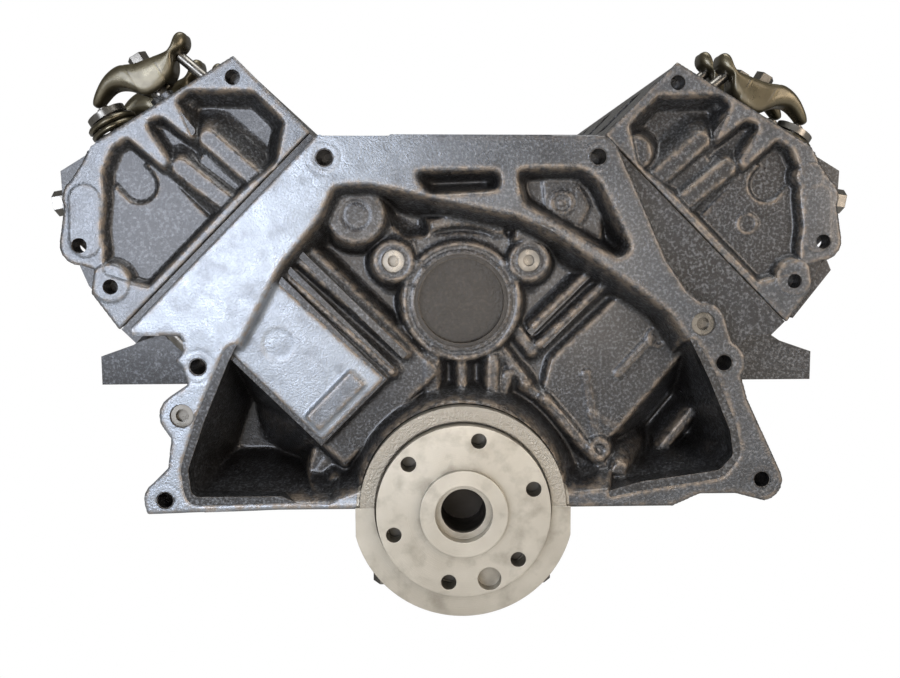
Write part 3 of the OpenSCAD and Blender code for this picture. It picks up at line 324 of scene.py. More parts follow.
class MaterialLibrary:
    """Builds each finish once and hands it out by name."""

    def __init__(self) -> None:
        """Start with no materials."""
        self.made: dict[str, bpy.types.Material] = {}

    def get(self, name: str) -> bpy.types.Material:
        """Return the material of a finish, building it the first time."""
        if name not in self.made:
            self.made[name] = self.build(FINISHES[name])
        return self.made[name]

    def build(self, finish: Finish) -> bpy.types.Material:
        """Make one procedural metal.

        Args:
            finish: What the metal looks like.

        Returns:
            The new material.
        """
        material = bpy.data.materials.new(finish.name)
        material.use_nodes = True
        graph = Graph(material.node_tree)
        shading = {n: graph.add("Attribute", {"attribute_name": n}).outputs["Fac"]
                   for n in ("crest", "hollow", "deep", "sheen")}
        patches = graph.ramp(graph.noise(38, 4), 0.35, 0.65, 0.0, finish.tint_amount)
        colour = graph.mix(patches, linear(finish.base), linear(finish.tint))
        speck = graph.ramp(graph.noise(finish.grain_mm * 1.3, 4, 9.1), 0.48, 0.66, 0.0, finish.speck_amount)
        colour = graph.mix(speck, colour, linear(finish.speck))
        # Painted sheen: the sheen attribute lightens faces towards the bright colour, standing in for reflected
        # lamp light; it also softens their grain below.
        colour = graph.mix(graph.math("MULTIPLY", shading["sheen"], 0.75), colour, linear(finish.bright))
        grime_and_shade = graph.ramp(graph.noise(17, 5, 3.1), 0.5, 0.72, 0.0, finish.grime_amount)
        # Painted shade: hollows, deep recesses and corners that ambient occlusion finds are darkened with the dirt
        # colour, as shade would fall there.
        sunk = graph.math("ADD", graph.math("MULTIPLY", shading["hollow"], 0.9), shading["deep"])
        closed = graph.add("AmbientOcclusion", {"samples": 6}, Distance=22 * MM).outputs["AO"]
        grime_and_shade = graph.math("ADD", grime_and_shade, graph.ramp(closed, 0.9, 0.25, 0.0, 0.5))
        grime_and_shade = graph.math("MINIMUM", graph.math("ADD", grime_and_shade, graph.math("MULTIPLY", sunk, 0.4)), 0.85)
        colour = graph.mix(grime_and_shade, colour, linear(finish.grime_and_shade))
        normal = graph.add("NewGeometry").outputs["Normal"]
        worn = graph.ramp(graph.noise(6, 3, 2.2), 0.4, 0.6, 0.1, 0.8)
        edge = graph.math("MULTIPLY", shading["crest"], worn)
        if finish.bevel_mm:
            bevel = graph.add("Bevel", {"samples": 4}, Radius=finish.bevel_mm * MM).outputs[0]
            facing = graph.add("VectorMath", {"operation": "DOT_PRODUCT"}, in0=bevel, in1=normal)
            edge = graph.math("MAXIMUM", edge,
                              graph.ramp(facing.outputs["Value"], 0.985, 0.8, 0.0, finish.edge_amount))
            normal = bevel
        colour = graph.mix(edge, colour, linear(finish.edge))
        rough = graph.ramp(graph.noise(9, 3, 7.7), 0.3, 0.7, finish.roughness - finish.roughness_swing,
                           finish.roughness + finish.roughness_swing)
        grain = graph.noise(finish.grain_mm, 3, 1.3)
        swell = graph.noise(finish.swell_mm, 2, 5.9)
        bump = graph.add("Bump", Height=swell, Strength=finish.swell_depth,
                         Distance=finish.swell_mm * 0.06 * MM, Normal=normal)
        depth = graph.ramp(shading["sheen"], 0.0, 1.0, finish.grain_depth, finish.grain_depth * 0.45)
        bump = graph.add("Bump", Height=grain, Strength=depth,
                         Distance=finish.grain_mm * 0.55 * MM, Normal=bump.outputs[0])
        if finish.lay is Lay.TURNED:
            bump = self.turned(graph, bump.outputs[0])
        if finish.ring_mm or finish.bore_mm:
            colour = self.round_axis(graph, colour, finish)
        shader = graph.add(
            "BsdfPrincipled", Base_Color=colour, Metallic=finish.metallic, Roughness=rough,
            Normal=bump.outputs[0], Coat_Weight=finish.coat, Coat_Roughness=finish.coat_roughness,
        )
        graph.add("OutputMaterial", Surface=shader.outputs[0])
        return material

    @staticmethod
    def round_axis(graph: Graph, colour: bpy.types.NodeSocket, finish: Finish) -> bpy.types.NodeSocket:
        """Lay bare metal on the ring round the crankshaft, and a colour that darkens deeper into a bore on its
        axis.

        Args:
            graph: The material's tree.
            colour: Colour so far.
            finish: Gives the radius of the ring and of the bore, or 0 for none.

        Returns:
            The colour with both laid over it.
        """
        place, radius = graph.about_crank()
        if finish.ring_mm:
            near = graph.math("LESS_THAN", radius, finish.ring_mm * MM)
            rear = graph.math("LESS_THAN", place.outputs["Y"], 18 * MM)
            colour = graph.mix(graph.math("MULTIPLY", near, rear), colour, linear(BARE_RING))
        if finish.bore_mm:
            near = graph.math("LESS_THAN", radius, finish.bore_mm * MM)
            inside = graph.ramp(place.outputs["Y"], 3.5 * MM, 9 * MM, 0.0, 0.95)
            colour = graph.mix(graph.math("MULTIPLY", near, inside), colour, linear(DEEP_BORE_COLOUR))
        return colour

    @staticmethod
    def turned(graph: Graph, normal: bpy.types.NodeSocket) -> bpy.types.Node:
        """Press fine rings round the Y axis into the surface, as a lathe leaves them.

        Args:
            graph: The material's tree.
            normal: Normal so far.

        Returns:
            The bump node.
        """
        radius = graph.about_crank()[1]
        rings = graph.add("TexNoise", {"noise_dimensions": "1D"}, W=radius, Scale=1800.0, Detail=2.0)
        return graph.add("Bump", Height=rings.outputs["Fac"], Strength=0.25, Distance=0.0003, Normal=normal)


NODE_FINISH: dict[str, str] = {
    "engine_block": "cast_iron",
    "cylinder_head_left": "cast_iron",
    "cylinder_head_right": "cast_iron",
    "main_bearing_caps": "cast_iron",
    "cam_plug": "wet_cup",
    "rear_main_cap": "machined_iron",
    "crankshaft": "machined_iron",
    "head_gaskets": "bearing_metal",
    "main_bearing_shells": "bearing_metal",
    "cam_bearings": "bearing_metal",
    "rear_main_seal": "seal_case",
    "valve_springs": "spring_steel",
    "closed_rockers": "rocker_steel",
}


def finish_of(node: str) -> str:
    """Name of the finish that a CAD node takes."""
    if node in NODE_FINISH:
        return NODE_FINISH[node]
    if node.startswith("piston"):
        return "piston_alloy"
    if "_rocker_" in node:
        return "rocker_steel"
    return "steel"


# ---------------------------------------------------------------- meshes


def make_object(name: str, points: Array, faces: Array, material: bpy.types.Material,
                smooth: bool = True) -> bpy.types.Object:
    """Make a mesh object from whole arrays.

    Args:
        name: Name of the object.
        points: Vertex positions in millimetres, one row each.
        faces: Quads or triangles, one row each.
        material: Its finish.
        smooth: Whether its faces are shaded smooth.

    Returns:
        The linked object, with its place in the mesh.
    """
    mesh = bpy.data.meshes.new(name)
    sides = faces.shape[1]
    mesh.vertices.add(len(points))
    mesh.vertices.foreach_set("co", (points * MM).astype(np.float32).ravel())
    mesh.loops.add(faces.size)
    mesh.loops.foreach_set("vertex_index", faces.astype(np.int32).ravel())
    mesh.polygons.add(len(faces))
    mesh.polygons.foreach_set("loop_start", np.arange(0, faces.size, sides, dtype=np.int32))
    mesh.polygons.foreach_set("loop_total", np.full(len(faces), sides, dtype=np.int32))
    mesh.polygons.foreach_set("use_smooth", np.full(len(faces), smooth))
    mesh.update(calc_edges=True)
    mesh.validate()
    made = bpy.data.objects.new(name, mesh)
    made.data.materials.append(material)
    bpy.context.scene.collection.objects.link(made)
    return made


# ---------------------------------------------------------------- cast surfaces


def smooth_min(first: Array, second: Array, blend: float) -> Array:
    """The smaller of two fields, with a fillet of about that size where they meet."""
    share = np.maximum(blend - np.abs(first - second), 0.0) / blend
    return np.minimum(first, second) - share * share * blend / 4


def blurred(field_mm: Array, size: float) -> Array:
    """A field smoothed by a bell curve of that many cells.

    Args:
        field_mm: Values on the grid.
        size: Standard deviation in cells.

    Returns:
        The smoothed field, of the same shape.
    """
    reach = max(1, int(size * 2.5))
    weights = np.exp(-0.5 * (np.arange(-reach, reach + 1) / size) ** 2)
    weights /= weights.sum()
    for axis in (0, 1):
        padded = np.pad(field_mm, [(reach, reach) if i == axis else (0, 0) for i in (0, 1)], mode="edge")
        size_now = field_mm.shape[axis]
        parts = [np.take(padded, range(k, k + size_now), axis=axis) * w for k, w in enumerate(weights)]
        field_mm = np.sum(parts, axis=0)
    return field_mm


# Depth of a relief's own machined face, which stands a little proud of the casting's
LAND = -0.4


@dataclass
class Relief:
    """A cast surface kept as depth over a grid, where less depth is nearer to the rear.

    Attributes:
        name: Name of the piece.
        low: Lowest grid corner.
        high: Highest grid corner.
        step: Size of a cell.
        face: Y position of the machined face, from which every depth is measured.
        side: Bank whose coordinates the grid lies in, or 0 for X and Z.
        lip: How far the piece stands past the outline of the casting.
        thickness: Depth of the shell behind its front.
    """

    name: str
    low: Spot
    high: Spot
    step: float
    face: float
    side: int = 0
    lip: float = 1.0
    thickness: float = 0.35
    u: Array = field(init=False)
    v: Array = field(init=False)
    depth: Array = field(init=False)
    keep: Array = field(init=False)
    sheen: Array = field(init=False)
    level: float = field(init=False)

    def __post_init__(self) -> None:
        """Lay out the grid, just proud of the machined face."""
        self.level = self.face + LAND
        across = np.arange(self.low[0], self.high[0] + self.step / 2, self.step)
        up = np.arange(self.low[1], self.high[1] + self.step / 2, self.step)
        self.u, self.v = np.meshgrid(across, up)
        self.depth = np.full_like(self.u, self.level)
        self.keep = np.full_like(self.u, -1000.0)
        self.sheen = np.zeros_like(self.u)

    def circle(self, at: Spot, radius: float) -> Array:
        """Distance to a circle, negative inside."""
        return np.hypot(self.u - at[0], self.v - at[1]) - radius

    def capsule(self, start: Spot, end: Spot, radius: float) -> Array:
        """Distance to a bar with round ends, negative inside."""
        run = np.subtract(end, start)
        along = ((self.u - start[0]) * run[0] + (self.v - start[1]) * run[1]) / (run @ run)
        along = np.clip(along, 0, 1)
        return np.hypot(self.u - start[0] - along * run[0], self.v - start[1] - along * run[1]) - radius

    def polygon(self, points: list[Spot], soften: float = 0.0) -> Array:
        """Distance to a polygon, negative inside.

        Args:
            points: Its corners in order.
            soften: Radius that its corners are softened by.

        Returns:
            The distance over the grid. It is the least distance to a side, with its sign from how many
            sides a line across the grid meets.
        """
        starts = np.asarray(points, float)
        runs = np.roll(starts, -1, axis=0) - starts
        x, z = self.u[..., None], self.v[..., None]
        away_x, away_z = x - starts[:, 0], z - starts[:, 1]
        along = np.clip((away_x * runs[:, 0] + away_z * runs[:, 1]) / (runs**2).sum(1), 0, 1)
        gap = np.hypot(away_x - along * runs[:, 0], away_z - along * runs[:, 1]).min(-1)
        crosses = (starts[:, 1] <= z) != (starts[:, 1] + runs[:, 1] <= z)
        slope = runs[:, 0] / np.where(runs[:, 1] == 0, 1, runs[:, 1])
        inside = (crosses & (x < starts[:, 0] + (z - starts[:, 1]) * slope)).sum(-1) % 2 == 1
        distance = np.where(inside, -gap, gap)
        return blurred(distance, soften / self.step) if soften else distance

    def raise_to(self, distance: Array, top: float, slope: float = 2.0, blend: float = 2.0) -> None:
        """Bring the surface to a lesser depth inside an outline, with sloping flanks."""
        self.depth = smooth_min(self.depth, self.face + top + slope * np.maximum(distance, 0), blend)

    def sink_to(self, distance: Array, floor: float, edge: float, slope: float = 3.0,
                blend: float = 2.5, fillet: float = 5.0, reach: float = 1000.0) -> None:
        """Press the surface back inside an outline.

        Args:
            distance: Distance to the outline, negative inside.
            floor: Depth of the bottom.
            edge: Depth of the surface at the outline.
            slope: Depth gained for each millimetre inwards.
            blend: Rounding of the upper edge.
            fillet: Rounding at the foot of the wall.
            reach: Distance outside the outline beyond which nothing changes.
        """
        wall = self.face + edge - slope * (distance + 0.35 * blend)
        pressed = smooth_min(np.full_like(wall, self.face + floor), wall, fillet)
        pressed = np.where(distance > reach, self.depth - 50, pressed)
        self.depth = -smooth_min(-self.depth, -pressed, blend)

    def swell(self, size_mm: float, height: float, seed: int) -> None:
        """Add the slow unevenness of a sand casting, never deeper than the surface was.

        Args:
            size_mm: Size of one swell.
            height: Greatest height of a swell.
            seed: Seed of the random draw.
        """
        noise = np.random.default_rng(seed).standard_normal(self.u.shape)
        soft = blurred(noise, size_mm / self.step)
        soft /= np.abs(soft).max()
        self.depth = self.depth - height * (soft + 1) / 2

    def paint_sheen(self, distance: Array, amount: float, fade: float = 3.0) -> None:
        """Paint sheen inside an outline: a lighter colour that stands in for lamp light reflected from a smooth
        face.
        """
        self.sheen = np.maximum(self.sheen, amount * np.clip(-distance / fade, 0, 1))

    def cut(self, distance: Array) -> None:
        """Leave a hole inside an outline."""
        self.keep = np.maximum(self.keep, -distance)

    def within(self, distance: Array) -> None:
        """Keep only what lies inside an outline."""
        self.keep = np.maximum(self.keep, distance)

    def trim(self, edge: Array, radius: float) -> None:
        """Keep what lies within the lip of an outline, and round its border.

        Args:
            edge: Distance to the outline, negative inside.
            radius: Radius of the rounding.
        """
        self.within(edge - self.lip)
        past = np.clip(edge - self.lip + radius, 0, radius)
        self.depth = self.depth + (radius - np.sqrt(np.maximum(radius**2 - past**2, 0)))

    def build(self, material: bpy.types.Material, columns: slice = slice(None),
              tag: str = "") -> bpy.types.Object:
        """Make the closed shell, with attributes for worn crests, for hollows darkened as painted shade, and for
        painted sheen.

        Args:
            material: Its finish.
            columns: Grid columns to use, so that one field can give several pieces.
            tag: Added to the name of the piece.

        Returns:
            The piece, riding on the block.
        """
        depth = blurred(self.depth, 0.55)
        broad, fine = blurred(depth, 5.0 / self.step), blurred(depth, 2.0 / self.step)
        crest = np.clip((fine - depth) / 0.5, 0, 1)
        # Masks of painted shade: hollow marks recesses below their surroundings, deep marks the deepest parts.
        hollow = np.clip((depth - broad) / 4.0, 0, 1)
        deep = np.clip((depth - self.level - 8) / 60.0, 0, 1)
        # Painted sheen: faces at the machined level are lightened, most on the left bank and the bell's left side
        # and least on the right bank, as the key lamp's reflection falls there, together with the outlines marked
        # for sheen.
        sheen = np.clip(1 - (depth - self.level) / 0.9, 0, 1) * {
            -1: 0.35, 0: 0.45 - 0.37 * np.tanh((self.u + 40) / 60), 1: 0.1
        }[self.side]
        sheen = blurred(np.maximum(sheen, self.sheen), 1.0)
        slope_v, slope_u = np.gradient(self.keep, self.step)
        near = np.abs(self.keep) < self.step * 0.8
        length = np.maximum(np.hypot(slope_u, slope_v), 0.3)
        u = self.u - np.where(near, self.keep * slope_u / length, 0)
        v = self.v - np.where(near, self.keep * slope_v / length, 0)
        u, v, depth, keep = (part[:, columns] for part in (u, v, depth, self.keep))
        if self.side:
            x, z = self.side * (u + v) * HALF, (v - u) * HALF
        else:
            x, z = u, v
        cells = (keep[:-1, :-1] + keep[1:, :-1] + keep[:-1, 1:] + keep[1:, 1:]) / 4 < 0
        index = np.arange(u.size).reshape(u.shape)
        corners = (index[:-1, :-1], index[:-1, 1:], index[1:, 1:], index[1:, :-1])
        quads = np.stack([part[cells] for part in corners], axis=1)
        if self.side == -1:
            quads = quads[:, ::-1]
        front = np.stack([x.ravel(), depth.ravel(), z.ravel()], axis=1)
        back = front + [0.0, self.thickness, 0.0]
        edges = np.concatenate([quads[:, [k, (k + 1) % 4]] for k in range(4)])
        keys = edges.min(1) * front.shape[0] + edges.max(1)
        _, first, times = np.unique(keys, return_index=True, return_counts=True)
        rim = edges[first[times == 1]]
        walls = np.stack([rim[:, 1], rim[:, 0], rim[:, 0] + len(front), rim[:, 1] + len(front)], axis=1)
        faces = np.concatenate([quads, quads[:, ::-1] + len(front), walls])
        used, packed = np.unique(faces, return_inverse=True)
        points = np.concatenate([front, back])[used]
        made = make_object(self.name + tag, points, packed.reshape(faces.shape), material)
        for name, part in (("crest", crest), ("hollow", hollow), ("deep", deep), ("sheen", sheen)):
            values = np.tile(part[:, columns].ravel(), 2)[used]
            made.data.attributes.new(name, "FLOAT", "POINT").data.foreach_set("value", values)
        made.data.set_sharp_from_angle(angle=math.radians(75))
        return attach(made, "block")


def on_bank(side: int, *points: Spot) -> list[Spot]:
    """Turn points of a bank's plane, outboard and along the bank, into X and Z."""
    return [(side * (a + b) * HALF, (b - a) * HALF) for a, b in points]


def arc(centre: Spot, radius: float, start: float, end: float, steps: int) -> list[Spot]:
    """Points on an arc, with its angles in degrees."""
    angles = np.radians(np.linspace(start, end, steps + 1))
    return [(centre[0] + radius * math.cos(t), centre[1] + radius * math.sin(t)) for t in angles]


@dataclass
class BellFace(Relief):
    """The bell housing's face and the hollow inside it.

    Attributes:
        cam: Axis of the camshaft.
        galleries: Axes of the two oil gallery plugs.
        dowels: Axes of the two dowels.
        bolts: Axes of the bolt holes.
        pad: Middle of the round pad beside the left gallery plug.
        plug_r: Radius of the openings for a gallery plug or a dowel.
        bolt_r: Radius of a bolt hole.
        cup_r: Radius of the opening for the camshaft's plug.
        seal_r: Radius of the opening for the crankshaft's seal.
    """

    cam: Spot = (0.0, 147.0)
    galleries: tuple[Spot, ...] = ((-49, 176), (49, 176))
    dowels: tuple[Spot, ...] = ((-199, 68), (171, 131))
    bolts: tuple[Spot, ...] = ((-95, 248), (95, 248), (-186.5, 103), (186.5, 103), (-213, 7), (216, 18))
    pad: Spot = (-75, 209)
    plug_r: float = 8.6
    bolt_r: float = 6.6
    cup_r: float = 34.4
    seal_r: float = 74.7

    STEP: ClassVar[float] = 1.2
    LEFT_COLUMNS: ClassVar[int] = 193
    EDGE: ClassVar[list[Spot]] = [
        (-132, 0), (-225, -2), *arc((-213, 7), 14, 200, 120, 4), (-209, 30), (-206, 52),
        *arc((-199, 68), 15, 220, 120, 5), (-193, 90), (-197, 104), *arc((-207, 118), 12, 300, 400, 4),
        *on_bank(-1, (77, 256), (-111, 256)), *arc((-95, 248), 15, 120, 90, 2),
        *arc((95, 248), 14, 90, 20, 4), (127, 212), (143, 176), (158, 154),
        *arc((171, 131), 15, 100, 10, 5), (191, 118), *arc((187, 103), 14, 40, -40, 4), (203, 76),
        (229, 22), *arc((216, 17), 14, 20, -80, 5), (197, 9), (171, 9), (151, 0), (132, 0),
    ]
    HOLLOW: ClassVar[list[Spot]] = [
        (-60, 3), (-117, 3), (-130, 9), (-194, 9), (-196, 29), (-183, 65), (-164, 109), (-127, 176),
        (-113, 192), (-100, 208), (-90, 230), (-64, 231), (-15, 220), (40, 208), (69, 194), (111, 166),
        (147, 141), (163, 118), (176, 92), (192, 54), (195, 36), (185, 25), (128, 17), (107, 11), (60, 8),
    ]

    @classmethod
    def make(cls, material: bpy.types.Material, rim: float) -> list[bpy.types.Object]:
        """Model the whole face and build it as two pieces, which meet over the crankshaft.

        Args:
            material: Its finish.
            rim: Y position of the machined face, in millimetres.

        Returns:
            The two pieces.
        """
        step, left = cls.STEP, cls.LEFT_COLUMNS
        bell = cls("bell_relief", (-left * step, -8.4), ((left + 1) * step, 262.8), step, rim)
        bell.hollow()
        bell.windows()
        bell.left_wall()
        bell.centre()
        bell.right_wall()
        bell.foot()
        bell.swell(9.0, 0.35, 4)
        bell.outline()
        return [bell.build(material, slice(0, left + 1), "_left"),
                bell.build(material, slice(left, None), "_right")]

    def hollow(self) -> None:
        """The hollow, its two deep corners and the wall round the crank."""
        floor = 31.6
        self.sink_to(self.polygon(self.HOLLOW, 3.0), floor, LAND, slope=2.6, blend=3.5, fillet=9)
        crank = self.circle((0, 0), 115)
        left = self.polygon([(-190, 12), (-192, 29), (-180, 65), (-160, 110), (-108, 44), (-78, 14)], 3)
        right = self.polygon([(100, 14), (128, 20), (183, 28), (191, 38), (188, 54), (172, 92),
                              (160, 112), (108, 44)], 3)
        for corner in (left, right):
            self.sink_to(np.maximum(corner, -crank), 71.6, floor, slope=3.2, blend=4, fillet=12)

    def windows(self) -> None:
        """The two windows under the upper edge, with the pad and boss in the right one."""
        left = self.polygon([(-38, 240), (28, 240), (28, 224), (-24, 221)], 3.0)
        right = self.polygon([(36, 241), (84, 241), (97, 232), (121, 184), (111, 175), (42, 216)], 3.0)
        for window in (left, right):
            self.sink_to(window, 25.6, LAND, slope=3.0, blend=2.5, fillet=6)
        pad = self.polygon([(39, 191), (101, 191), (101, 243), (39, 243)])
        self.raise_to(pad, 17.6, slope=2.2)
        top = self.polygon([(58, 236), (80, 238), (92, 214), (84, 200), (62, 206)], 2.0)
        self.raise_to(np.maximum(top, right + 6), 16.4, slope=1.2, blend=1.5)
        boss = (72, 217)
        self.raise_to(self.circle(boss, 8.5), 15.8, slope=3)
        self.sink_to(self.circle(boss, 5.6), 17.4, 15.8, slope=2, blend=0.8, fillet=1)
        self.raise_to(self.circle(boss, 3.2), 15.6, slope=2, blend=0.6)
        self.raise_to(self.capsule((-12, 229), (10, 229), 3.5), 20, slope=1.2, blend=4)

    def left_wall(self) -> None:
        """The end wall of the rearmost left cylinder, with its ribs, bar and low pads."""
        shelf = self.polygon(on_bank(-1, (42, 80), (-56, 80), (-56, 250), (42, 250)), 2.0)
        self.raise_to(shelf, 18.6, slope=2.2, blend=4)
        plate = self.polygon(on_bank(-1, (38, 105), (-26, 104.5), (-22, 212), (38, 250)), 1.5)
        self.raise_to(plate, 7.6, slope=2.4, blend=3)
        # Painted sheen on the plate's smooth face.
        self.paint_sheen(plate, 0.72)
        bar = self.polygon(on_bank(-1, (33, 112), (33, 125.5), (-13, 126), (-13, 112)), 0.8)
        self.raise_to(bar, 5.5, slope=1.4, blend=0.8)
        # Painted sheen on the bar.
        self.sheen = np.where(bar < 0, 0.35, self.sheen)
        self.sink_to(self.circle(on_bank(-1, (9.5, 176))[0], 11.5), 8.0, 7.6, slope=0.8,
                     blend=0.5, fillet=0.5)
        for start, end, top in (
            ((-29, 215), (-32.5, 104), 11.6), ((-43, 216), (-49, 106), 13.6),
        ):
            self.raise_to(self.capsule(*on_bank(-1, start, end), 2.0), top, slope=1.7, blend=5)
        groove = self.capsule(*on_bank(-1, (-36.5, 202), (-41, 108)), 1.5)
        self.sink_to(groove, 18.4, 16.0, slope=1.2, blend=3, fillet=2, reach=3)
        for corner, reach in (((12, 86), 12.0), ((30, 79), 9.0)):
            spot = on_bank(-1, corner)[0]
            block = np.maximum(np.abs(self.u - spot[0]) * 0.8 + np.abs(self.v - spot[1]) * 0.6, 0) - reach
            self.raise_to(blurred(block, 1.4), 26, slope=2.0, blend=3)
        self.raise_to(self.circle((-92.5, 10), 7), 22, slope=1.6, blend=5)
        self.raise_to(self.capsule((-118, 4), (-100, 29), 2.0), 34, slope=1.8, blend=6)
        for spot in ((-139, 47), (-127, 33)):
            self.raise_to(self.circle(spot, 5.2), 62, slope=0.8, blend=3)

    def centre(self) -> None:
        """The camshaft plug's ring, gallery bosses, pad boss, webs and the neck."""
        self.raise_to(self.polygon([(-50, 191), (0, 196), (50, 191), (50, 160), (-50, 160)]), 23.4,
                      slope=1.5, blend=6)
        arch = np.maximum(np.abs(self.circle(self.cam, 58)) - 3.2, 196 - self.v)
        self.raise_to(np.maximum(arch, np.abs(self.u - 4) - 26), 21, slope=1.8, blend=7)
        self.raise_to(self.circle(self.cam, 43), 19.6, slope=2.6, blend=3)
        self.sink_to(np.abs(self.circle(self.cam, 38.4)) - 1.6, 21.2, 19.6, slope=1.2, blend=1.2,
                     fillet=1.0)
        for spot in self.galleries:
            self.raise_to(self.capsule(spot, (spot[0] * 0.72, 168), 9), 20.5, slope=2.0, blend=4)
            self.raise_to(self.circle(spot, 14.5), 17.6, slope=2.6, blend=2.5)
            self.sink_to(np.abs(self.circle(spot, 10.8)) - 1.0, 18.7, 17.6, slope=1.2,
                         blend=0.7, fillet=0.6)
        self.raise_to(self.circle(self.pad, 20), 13.6, slope=2.4, blend=4)
        self.sink_to(self.circle(self.pad, 10.5), 15.2, 13.6, slope=1.3, blend=1.2, fillet=1)
        self.raise_to(self.circle(self.pad, 8.6), 13.8, slope=1.2, blend=1)
        self.raise_to(self.capsule((-58, 203), (-40, 186), 4), 23, slope=1.4, blend=7)
        for start, end, wide, high in (
            ((-21, 108), (-22, 72), 4.5, 20), ((0, 104), (0.7, 70), 2.4, 20), ((23, 104), (22, 70), 3.6, 20),
            ((-40, 130), (-62, 92), 3.0, 24), ((-62, 92), (-84, 66), 3.0, 26), ((28, 112), (48, 86), 3.0, 24),
            ((34, 92), (27, 68), 3.0, 23), ((40, 126), (52, 110), 3.4, 25),
        ):
            self.raise_to(self.capsule(start, end, wide), high, slope=1.7, blend=6)
        for start, end in (((11, 98), (13, 72)), ((-10, 98), (-10, 72))):
            self.sink_to(self.capsule(start, end, 1.4), 28, 23, slope=1.6, blend=4, fillet=3, reach=3)

    def right_wall(self) -> None:
        """The pad over the rearmost right cylinder, its two ribs, the webs and the deep corner."""
        pad = self.polygon(on_bank(1, (-24, 190), (30, 195), (40, 192), (47, 118), (46, 100), (-12, 96),
                                   (-26, 120)), 2.0)
        self.raise_to(pad, 26.5, slope=1.6, blend=4)
        for start, end in (((-38, 186), (-40.5, 122)), ((-52, 188), (-53, 128))):
            self.raise_to(self.capsule(*on_bank(1, start, end), 2.2), 23.6, slope=1.7, blend=5)
        boss = on_bank(1, (47, 98))[0]
        self.raise_to(self.circle(boss, 8), 23, slope=2.2, blend=4)
        self.sink_to(self.circle(boss, 4.4), 24.6, 23, slope=1.3, blend=1, fillet=1)
        mark = on_bank(1, (18.2, 186))[0]
        self.raise_to(np.abs(self.circle(mark, 6.5)) - 0.8, 25.6, slope=1.0, blend=0.8)
        for start, end, wide, high in (
            ((104, 24), (62, 73), 3.0, 23), ((62, 73), (46, 84), 3.0, 25), ((104, 24), (92, 92), 2.2, 28),
            ((146, 20), (186, 70), 3.2, 46), ((96, 62), (116, 52), 2.4, 29), ((140, 118), (116, 92), 2.4, 28),
        ):
            self.raise_to(self.capsule(start, end, wide), high, slope=1.9, blend=7)
        for spot in ((152, 32), (176, 88)):
            self.raise_to(np.abs(self.circle(spot, 6)) - 1.0, 66, slope=0.8, blend=2)
        for spot, reach in (((81, 14), 8), ((98, 12), 6), ((117, 22), 5)):
            self.raise_to(self.circle(spot, reach), 19, slope=1.5, blend=6)
        self.sink_to(self.polygon([(70, 38), (78, 43), (88, 32), (98, 20), (84, 16)], 2.5), 38,
                     28, slope=1.6, blend=5, fillet=5, reach=4)

    def foot(self) -> None:
        """The feet beside the seal ring and the land that joins them."""
        feet = self.polygon([(-100, 0), (-92, 6), (-70, 14), (70, 14), (82, 9), (100, 0)], 1.0)
        self.raise_to(feet, LAND, slope=2.6, blend=3)
        self.raise_to(self.circle((0, 0), 76), 5, slope=2.4, blend=5)

    def outline(self) -> None:
        """The edge of the casting with its rounding, and the holes in it."""
        edge = self.polygon(self.EDGE)
        self.trim(edge, 1.6)
        for spot in self.bolts:
            bore = self.circle(spot, self.bolt_r)
            self.cut(bore)
            self.depth = self.depth + np.clip(1.4 - bore, 0, 1.4) * 0.5 * (bore > 0)
            ring = np.abs(self.circle(spot, 11.5)) - 0.6
            self.sink_to(ring, 0.0, LAND, slope=0.5, blend=0.3, fillet=0.3)
        for spot in (*self.dowels, *self.galleries):
            self.cut(self.circle(spot, self.plug_r))
        self.cut(self.circle(self.cam, self.cup_r))
        self.cut(self.circle((0, 0), self.seal_r))


